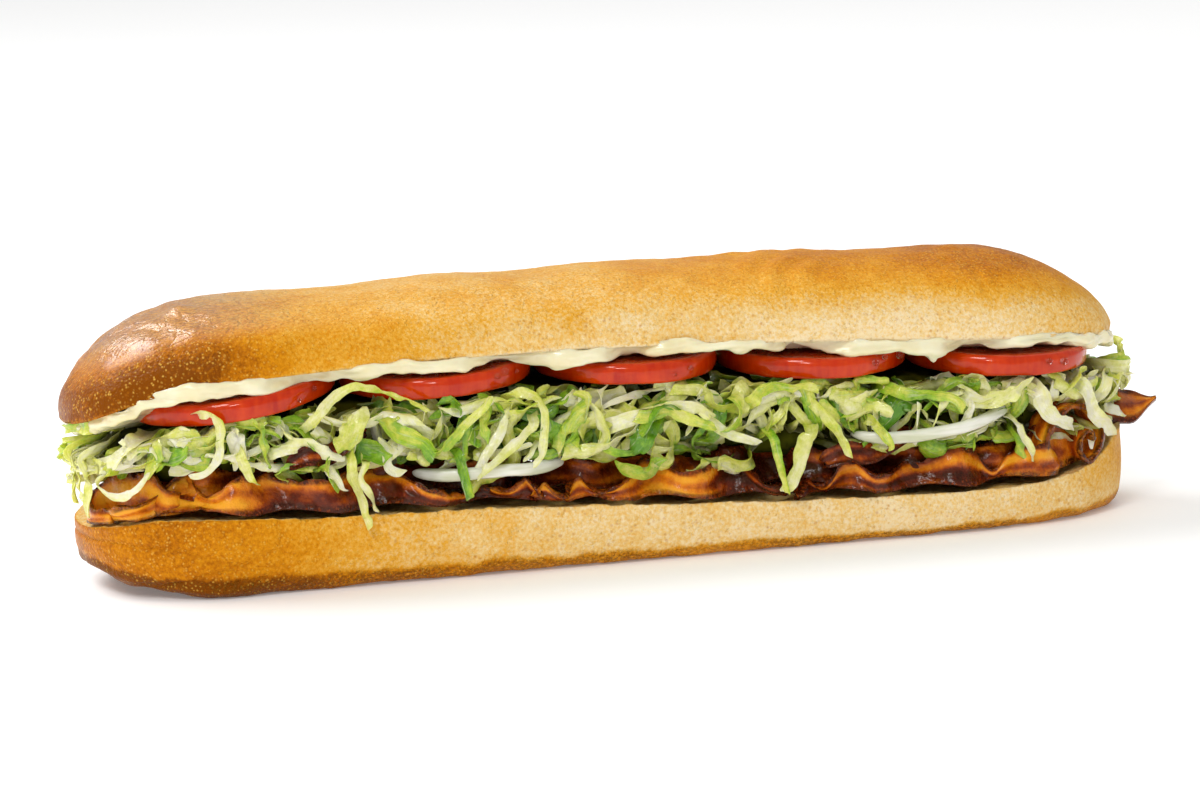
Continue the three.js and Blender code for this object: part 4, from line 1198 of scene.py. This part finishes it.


# Lettuce: shreds that stand out, many more between them, and a core behind them, painted dark as shade
HERO_SHREDS = [
    (-80.5, 41, -100, 25, 24, 3.6, 0.45), (-77, 39, -82, 19, -10, 2.4, 0.35),
    (-53.5, 38, -88, 16, 6, 3.6, 0.8),
    (-29, 47, -108, 27, -18, 3.4, 0.2), (-73, 50, -48, 22, 10, 7, 0.62), (-15, 35, 24, 37, -66, 5.4, 0.18),
    (50, 37, -103, 23, -6, 5, 0.3), (34.5, 36, -62, 20, 6, 3, 0.6), (64, 36, -66, 12, 0, 3.2, 0.45),
    (106, 33, -88, 15, -6, 2.6, 0.1), (-140, 45, -104, 10, 0, 5.6, 0.1), (-112, 43, -76, 13, 8, 3.4, 0.35),
    (-126, 49, 42, 30, -250, 2.8, 0.2), (-98, 40, 46, 46, -84, 3.2, 0.35), (-63, 34, 5, 26, 45, 3.2, 0.5),
    (-40, 44, 60, 34, -210, 3.2, 0.3), (-8, 45, -30, 30, 40, 4.4, 0.5), (12, 46, -55, 26, 30, 3.6, 0.1),
    (28, 38, 40, 26, -60, 4.4, 0.55), (44, 44, -20, 24, -30, 3.4, 0.4), (66, 44, 10, 28, -50, 4.6, 0.6),
    (88, 43, -24, 26, 36, 5.6, 0.25), (112, 42, -50, 20, 10, 6, 0.05), (128, 42, -38, 24, -34, 5.4, 0.08),
    (-157, 43, -96, 21, -16, 4.2, 0.2), (-165, 42, -78, 18, 14, 3.4, 0.12),
    (-150, 38, -118, 26, 215, 2.8, 0.1),
    (-151, 47, -160, 18, 20, 4, 0.5), (-163, 44, -96, 20, 12, 4.6, 0.4), (-170, 41, -150, 14, 0, 3, 0.6),
    (150, 41, -20, 16, -30, 4.6, 0.15), (160, 40, 10, 14, -20, 4, 0.5)]
FILLER_SHREDS = 17
FILLER_START = 152
FILLER_SEED = 7
SHRED_ROOT = 9
SHRED_REACH = 2.2
SHRED_BURIED = 0.26
SHRED_STEPS = 40
SHRED_COLUMNS = 6
FIBRE_LENGTH = 8
FIBRE_WIDTH = 0.8
# How green the shreds are along the roll: pale at the left end, greenest in the middle
HEAP_TONE = [(-150, -0.12), (-80, -0.06), (-40, 0.05), (10, 0.08), (60, 0.05), (100, -0.04),
             (150, -0.08)]
# Random layers of the shreds: height, size, octaves and seed
RAGGED_EDGE = (0.24, 1.9, 1, 171)
CRINKLES = (1, 2.5, 1, 173)
TONE_PATCHES = (0.18, 7, 1, 175)
CORE_RELIEF = (1.1, 6, 2, 181)
KINK_SEED = 191
SWAY_LAYER = (1, 5, 1, 193)
ROLL_LAYER = (3, 8, 1, 195)
# Keeps the noise of one shred apart from the next one's
HERO_GAP = 17.3
LOOSE_GAP = 40.3
TAG_GAP = 31.7
# The long shreds' random draw, share of their width, taper, cup, ruffle and thickness, and the angle from
# which any shred's edge is sharp
HERO_DRAW = 5
HERO_LOOK = (0.86, 0.4, 0.35, 1.2, 0.3)
SHARP_ANGLE = 45
# How far shreds stay behind the onion rings, and the width and height of that effect
ONION_CLEAR = 2.2
ONION_SPREADS = (22, 32)
ONION_REACH = 3.4
# The core's rows (inset, share of the height), and where its ends sink
CORE_ROWS = ((30, 0), (18, 0), (13, 0.02), (11, 0.12), (10.2, 0.3), (10, 0.5), (10.2, 0.7), (11, 0.88),
             (13, 0.98), (18, 1), (30, 1))
HEAP_END = (112, 140)
LEFT_LIFTED = (-96, -120)
HANGING_FROM = (-112, -90)
# Loose shreds: how far from the bacon and the tomato they stay, how far they drop at the ends and rise at the
# left, how strongly they are kept in, and the spreads and ranges that they are drawn from
LOW_CLEAR = 3.4
HIGH_CLEAR = 0.2
END_DROP = 5
LEFT_LIFT = 1.6
KEEP_IN = 2.1
KEPT_AT = 1.25
HEADING_SPREAD = 50
KINK_SHARE = 0.75
KINK_SIZE = 9
HANG_RANGE = (3, 9)
SWAY_RANGE = (0.6, 2.2)
SWAY_TURNS = (1.5, 5)
ROLL_SPREAD = 0.6
TWIST_SPREAD = 1.2
CUP_SPREAD = 0.45
SLANT_SPREAD = 0.9
TAPERS = [0.1, 0.4, 0.9]
TONE_SHAPE = (0.85, 1.25)
# Layers of loose shreds: name, count, seed, ranges of depth, length, width and tone, curl, ruffle, thickness,
# share that hangs down, columns and steps
LOOSE_LAYERS = (
    ("lettuce_inner_shreds", 240, 21, (-9.5, -4.5), (18, 38), (2.4, 5), (0.3, 1.0), 70, 1.1, 0.4, 0, 5, 21),
    ("lettuce_rib_shreds", 120, 22, (-5, -0.2), (10, 28), (2.2, 5), (0.0, 0.34), 40, 0.5, 0.55, 0.15, 5, 24),
    ("lettuce_leaf_shreds", 340, 23, (-5, 0.2), (12, 34), (1.8, 5), (0.1, 0.95), 75, 1.5, 0.26, 0.2, 5, 26),
    ("lettuce_flakes", 80, 24, (-4.5, 0), (8, 16), (5, 9), (0.3, 1.0), 50, 2.6, 0.28, 0.1, 6, 28))


def filler_shreds():
    """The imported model's shreds of the ends and the back."""
    draw = random_source(FILLER_SEED)
    made = []
    for i in range(FILLER_SHREDS):
        p = FILLER_START + ((i + next(draw)) / FILLER_SHREDS) * (PERIMETER - 2 * FILLER_START)
        x = float(wall_x(p))
        low = through(LOWER_CUT, x) + LETTUCE_ABOVE_CUT + 2
        high = through(UPPER_CUT, x) - LETTUCE_BELOW_CUT - 2
        heading = 360 * next(draw)
        turn = 150 * (next(draw) - 0.5)
        slope = math.sin(math.radians(heading + turn / 2))
        length = min(18 + 14 * next(draw), (high - low) / abs(slope))
        spare = high - low - abs(slope) * length
        z = (low + high) / 2 - slope * length / 2 + spare * (next(draw) - 0.5)
        made.append((p, z, heading, length, turn, 3 + 2.2 * next(draw), 0.15 + 0.5 * (i % 4) / 3))
    return made


def behind_onions(p, z, out):
    """Moves shreds behind the two onion rings that show along the front."""
    for (_, x0, y0, radius, _, _, above, _), spread in zip(ONIONS[:2], ONION_SPREADS):
        level = through(LOWER_CUT, float(x0)) + above
        ring_out = np.sqrt(np.maximum(radius**2 - (p - x0) ** 2, 0)) - y0 - HALF_WIDTH
        near = bump_at(p, x0, spread) ** 0.5 * bump_at(z, level, ONION_REACH)
        out = out - near * np.maximum(out - ring_out + ONION_CLEAR, 0)
    return out


def shred_ribbons(p, z, out, roll, width, taper, cup, ruffle, thickness, slant, seed, columns):
    """Leaf ribbons along wall paths: p, z, out and roll are (count, steps), the rest (count, 1)."""
    centre = on_wall(p, out, z)
    tangent = np.gradient(centre, axis=1)
    step = np.linalg.norm(tangent, axis=-1)
    tangent /= step[..., None]
    flat_side = unit(np.cross(wall_normal(p), tangent))
    face = np.cross(tangent, flat_side)
    side = flat_side * np.cos(roll)[..., None] + face * np.sin(roll)[..., None]
    normal = np.cross(tangent, side)
    s = np.linspace(0, 1, p.shape[1])[None, :]
    run = np.cumsum(step, 1)
    tag = column(np.arange(len(p)) * TAG_GAP + seed) + 0 * run
    ends = np.clip(np.minimum(s / 0.03, (1 - s) / 0.03) + 0.75, 0, 1)
    half = width / 2 * (1 - taper * s**3) * ends * (1 + relief(xyz(run, tag, 0), RAGGED_EDGE))
    u = np.linspace(-1, 1, columns)
    across = half[..., None] * u
    grain = xyz(run[..., None], across * 1.3, tag[..., None])
    lift = ruffle[..., None] * relief(grain, CRINKLES) * (0.3 + 0.7 * np.abs(u))
    lift += (cup * half)[..., None] * (u**2 - 0.5)
    cut = (slant * (smooth(0.2, 0, s) + smooth(0.8, 1, s)))[..., None] * across
    middle = (centre[:, :, None] + side[:, :, None] * across[..., None] + normal[:, :, None] * lift[..., None]
              + tangent[:, :, None] * cut[..., None])
    skin = normal[:, :, None] * (thickness[..., None] / 2 * (1 - 0.5 * np.abs(u) ** 8))[..., None]
    points = np.concatenate([middle + skin, (middle - skin)[:, :, ::-1]], axis=2)
    fibre = np.concatenate([across, across[:, :, ::-1]], axis=2) / FIBRE_WIDTH
    along = (run / FIBRE_LENGTH + tag)[..., None] + 0 * fibre
    return points, along, fibre


def shred_piece(name, shreds, tone, out, draw):
    """All shreds of a layer as one piece, with their colours and shade."""
    points, along, fibre = shreds
    count, steps, section = points.shape[:3]
    starts = (np.arange(count) * steps * section)[:, None, None]
    quads = (ribbon_faces(steps, section)[None] + starts).reshape(-1, 4)
    values = shred_values(tone, out, points, along, fibre, draw)
    make_piece(name, points, quads, LETTUCE, ["lettuce"], (), values, SHARP_ANGLE)


def shred_values(tone, out, points, along, fibre, draw):
    """A drift of colour along and across each shred, and shade for what lies deep in the heap."""
    count, steps, section = points.shape[:3]
    s = np.linspace(0, 1, steps)[None, :, None]
    u = np.linspace(-1, 1, section // 2)
    u = np.concatenate([u, u[::-1]])[None, None, :]
    drift = draw.normal(0, 0.22, count)[:, None, None]
    tilt = draw.normal(0, 0.08, count)[:, None, None]
    # Painted shade for the shreds that lie deep in the heap
    deep = 0.86 * smooth(-1.8, -8.5, out)[..., None] + np.zeros(points.shape[:3])
    tones = tone[:, None, None] + drift * (s - 0.5) + tilt * u + 0.1 * u**2 + relief(points, TONE_PATCHES)
    return {"tone": tones, "deep": deep, "along": along, "across": fibre}


def hero_shreds():
    specs = np.array(HERO_SHREDS + filler_shreds())
    p0, z0, heading, length, turn, width, _ = (column(values) for values in specs.T)
    s = np.linspace(0, 1, SHRED_STEPS)[None, :]
    run = xyz(s * length, HERO_GAP * p0, 0)
    angle = np.radians(heading + turn * s + 26 * np.tanh(3 * noise(run, 8, KINK_SEED)))
    step = length / (SHRED_STEPS - 1)
    p = p0 + np.cumsum(np.cos(angle) * step, 1) - np.cos(angle) * step
    z = z0 + np.cumsum(np.sin(angle) * step, 1) - np.sin(angle) * step
    out = (SHRED_ROOT + SHRED_REACH) * smooth(0, SHRED_BURIED, s) - SHRED_ROOT
    out = out + 0.8 * np.sin(3 * math.pi * s) + 0.6 * relief(run, SWAY_LAYER)
    roll = 0.25 + 0.5 * np.sin(2.2 * s * math.pi + p0) + 0.2 * relief(run, ROLL_LAYER)
    share, *look = HERO_LOOK
    taper, cup, ruffle, thickness = (np.full((len(specs), 1), value) for value in look)
    slant = column(np.where(np.arange(len(specs)) % 2, 0.9, -0.7))
    shreds = shred_ribbons(p, z, out, roll, share * width, taper, cup, ruffle, thickness, slant, 3,
                           SHRED_COLUMNS)
    shred_piece("lettuce_long_shreds", shreds, specs[:, -1], out, np.random.default_rng(HERO_DRAW))


def loose_shreds(name, count, seed, depth, length, width, tones, curl, ruffle, thickness, hang, columns,
                 steps):
    """Many random shreds in a layer of the heap, kept between the bacon and the tomato."""
    draw = np.random.default_rng(seed)

    def uniform(low, high):
        return column(draw.uniform(low, high, count))

    def normal(spread):
        return column(draw.normal(0, spread, count))

    s = np.linspace(0, 1, steps)[None, :]
    p0 = (np.arange(count) + draw.random(count)) / count * PERIMETER
    length = uniform(*length)
    width = uniform(*width)
    heading = normal(HEADING_SPREAD) + 180 * column(draw.random(count) < 0.5)
    turn = normal(curl)
    run = xyz(s * length, LOOSE_GAP * column(np.arange(count)), seed)
    kinks = KINK_SHARE * curl * np.tanh(3.5 * noise(run, KINK_SIZE, KINK_SEED))
    angle = np.radians(heading + turn * (s - 0.5) + kinks)
    step = length / (steps - 1)
    p = column(p0) + np.cumsum(np.cos(angle) * step, 1) - length / 2 * np.cos(np.radians(heading))
    rise = np.cumsum(np.sin(angle) * step, 1)
    rise -= rise.mean(1, keepdims=True)
    x = wall_x(p)
    low = through(LOWER_CUT, x) + LETTUCE_ABOVE_CUT + LOW_CLEAR - END_DROP * smooth(*HEAP_END, x)
    low += LEFT_LIFT * smooth(*LEFT_LIFTED, x)
    high = through(UPPER_CUT, x) - LETTUCE_BELOW_CUT - HIGH_CLEAR
    hanging = column(draw.random(count) < hang) * uniform(*HANG_RANGE)
    low -= hanging * smooth(*HANGING_FROM, x)
    z = low + (high - low) * uniform(0, 1) + rise
    kept = np.tanh(KEEP_IN * ((z - low) / (high - low) - 0.5)) / math.tanh(KEPT_AT)
    z = low + (high - low) * (0.5 + 0.5 * kept)
    phase = uniform(0, 2 * math.pi)
    out = uniform(*depth) + uniform(*SWAY_RANGE) * np.sin(uniform(*SWAY_TURNS) * s + phase)
    out = behind_onions(p, z, out + 0.7 * relief(run, SWAY_LAYER))
    roll = normal(ROLL_SPREAD) + normal(TWIST_SPREAD) * (s - 0.5) + 1.1 * np.tanh(relief(run, ROLL_LAYER))
    taper = column(draw.choice(TAPERS, count))
    shreds = shred_ribbons(p, z, out, roll, width, taper, normal(CUP_SPREAD), uniform(0.5, 1) * ruffle,
                           np.full((count, 1), thickness), normal(SLANT_SPREAD), seed, columns)
    tone = tones[0] + draw.beta(*TONE_SHAPE, count) * (tones[1] - tones[0])
    shred_piece(name, shreds, tone + through(HEAP_TONE, wall_x(p0)), out, draw)


def lettuce_core():
    grid = []
    for inset, share in CORE_ROWS:
        x, y = ring(inset)
        low = through(LOWER_CUT, x) + LETTUCE_ABOVE_CUT - 4 * smooth(*HEAP_END, np.abs(x))
        high = through(UPPER_CUT, x) - LETTUCE_BELOW_CUT
        grid.append(xyz(x, y, low + (high - low) * share))
    grid = np.array(grid)
    grid = displaced(grid, relief(grid, CORE_RELIEF))
    stack_piece("lettuce_core", grid, CORE, [])


# Floor and light
FLOOR_HALF = 12
LIGHT_TARGET = Vector((0, 0, 0.04))
WORLD_STRENGTH = 0.45
# Suns: name, direction towards it, strength, angle in degrees. Panels: name, place, power, width, height
SUNS = (("key", (-0.6, -0.75, 1.0), 0.86, 16), ("top", (0.35, 0.3, 1.2), 0.3, 50))
PANELS = (("softbox", (-0.9, 0.75, 1.15), 19, 1.3, 0.7), ("front", (-0.45, -1.3, 0.75), 3, 0.26, 0.13))


def make_stage():
    mesh = bpy.data.meshes.new("floor")
    corners = [(-FLOOR_HALF, -FLOOR_HALF), (FLOOR_HALF, -FLOOR_HALF), (FLOOR_HALF, FLOOR_HALF),
               (-FLOOR_HALF, FLOOR_HALF)]
    mesh.from_pydata([(x, y, 0) for x, y in corners], [], [(0, 1, 2, 3)])
    floor = bpy.data.objects.new("floor", mesh)
    bpy.context.scene.collection.objects.link(floor)
    s = Shader("floor", Roughness=0.6, Specular_IOR_Level=0.2, Emission_Color=(1, 1, 1, 1),
               Emission_Strength=0.15)
    s.feed("Base Color", s.ramp(s.noise(300), (0.3, 250.46, 250.46, 249.89), (0.7, 251.61, 251.61, 251.04)))
    mesh.materials.append(s.material)


def make_light(name, kind, power):
    data = bpy.data.lights.new(name, kind)
    data.energy = power
    light = bpy.data.objects.new(name, data)
    bpy.context.scene.collection.objects.link(light)
    return light


def area_light(name, place, power, width, height):
    light = make_light(name, "AREA", power)
    light.data.shape = "RECTANGLE"
    light.data.size = width
    light.data.size_y = height
    light.location = place
    light.rotation_euler = (LIGHT_TARGET - Vector(place)).to_track_quat("-Z", "Y").to_euler()


def sun_light(name, direction, strength, angle):
    light = make_light(name, "SUN", strength)
    light.data.angle = math.radians(angle)
    light.rotation_euler = Vector(direction).to_track_quat("Z", "Y").to_euler()


def make_lights():
    scene = bpy.context.scene
    world = bpy.data.worlds.new("world")
    scene.world = world
    world.use_nodes = True
    background = world.node_tree.nodes["Background"]
    background.inputs["Color"].default_value = (1, 1, 1, 1)
    background.inputs["Strength"].default_value = WORLD_STRENGTH
    for spec in SUNS:
        sun_light(*spec)
    for spec in PANELS:
        area_light(*spec)
    scene.view_settings.view_transform = "Standard"
    scene.view_settings.look = "None"


CRUST = crust_material()
MAYONNAISE = mayonnaise_material()
TOMATO = tomato_material()
LETTUCE = lettuce_material()
CORE = core_material()
ONION = onion_material()
BACON = bacon_material()
WATER = water_material()

upper_roll()
lower_roll()
mayonnaise()
for index, spec in enumerate(SLICES):
    tomato(index, *spec)
droplets()
for index, spec in enumerate(SIDE_BACON):
    side_bacon(index + 1, *spec)
for index, spec in enumerate(FLAT_BACON):
    flat_bacon(index + 11, *spec)
for spec in ONIONS:
    onion(*spec)
lettuce_core()
hero_shreds()
for spec in LOOSE_LAYERS:
    loose_shreds(*spec)
make_stage()
make_lights()
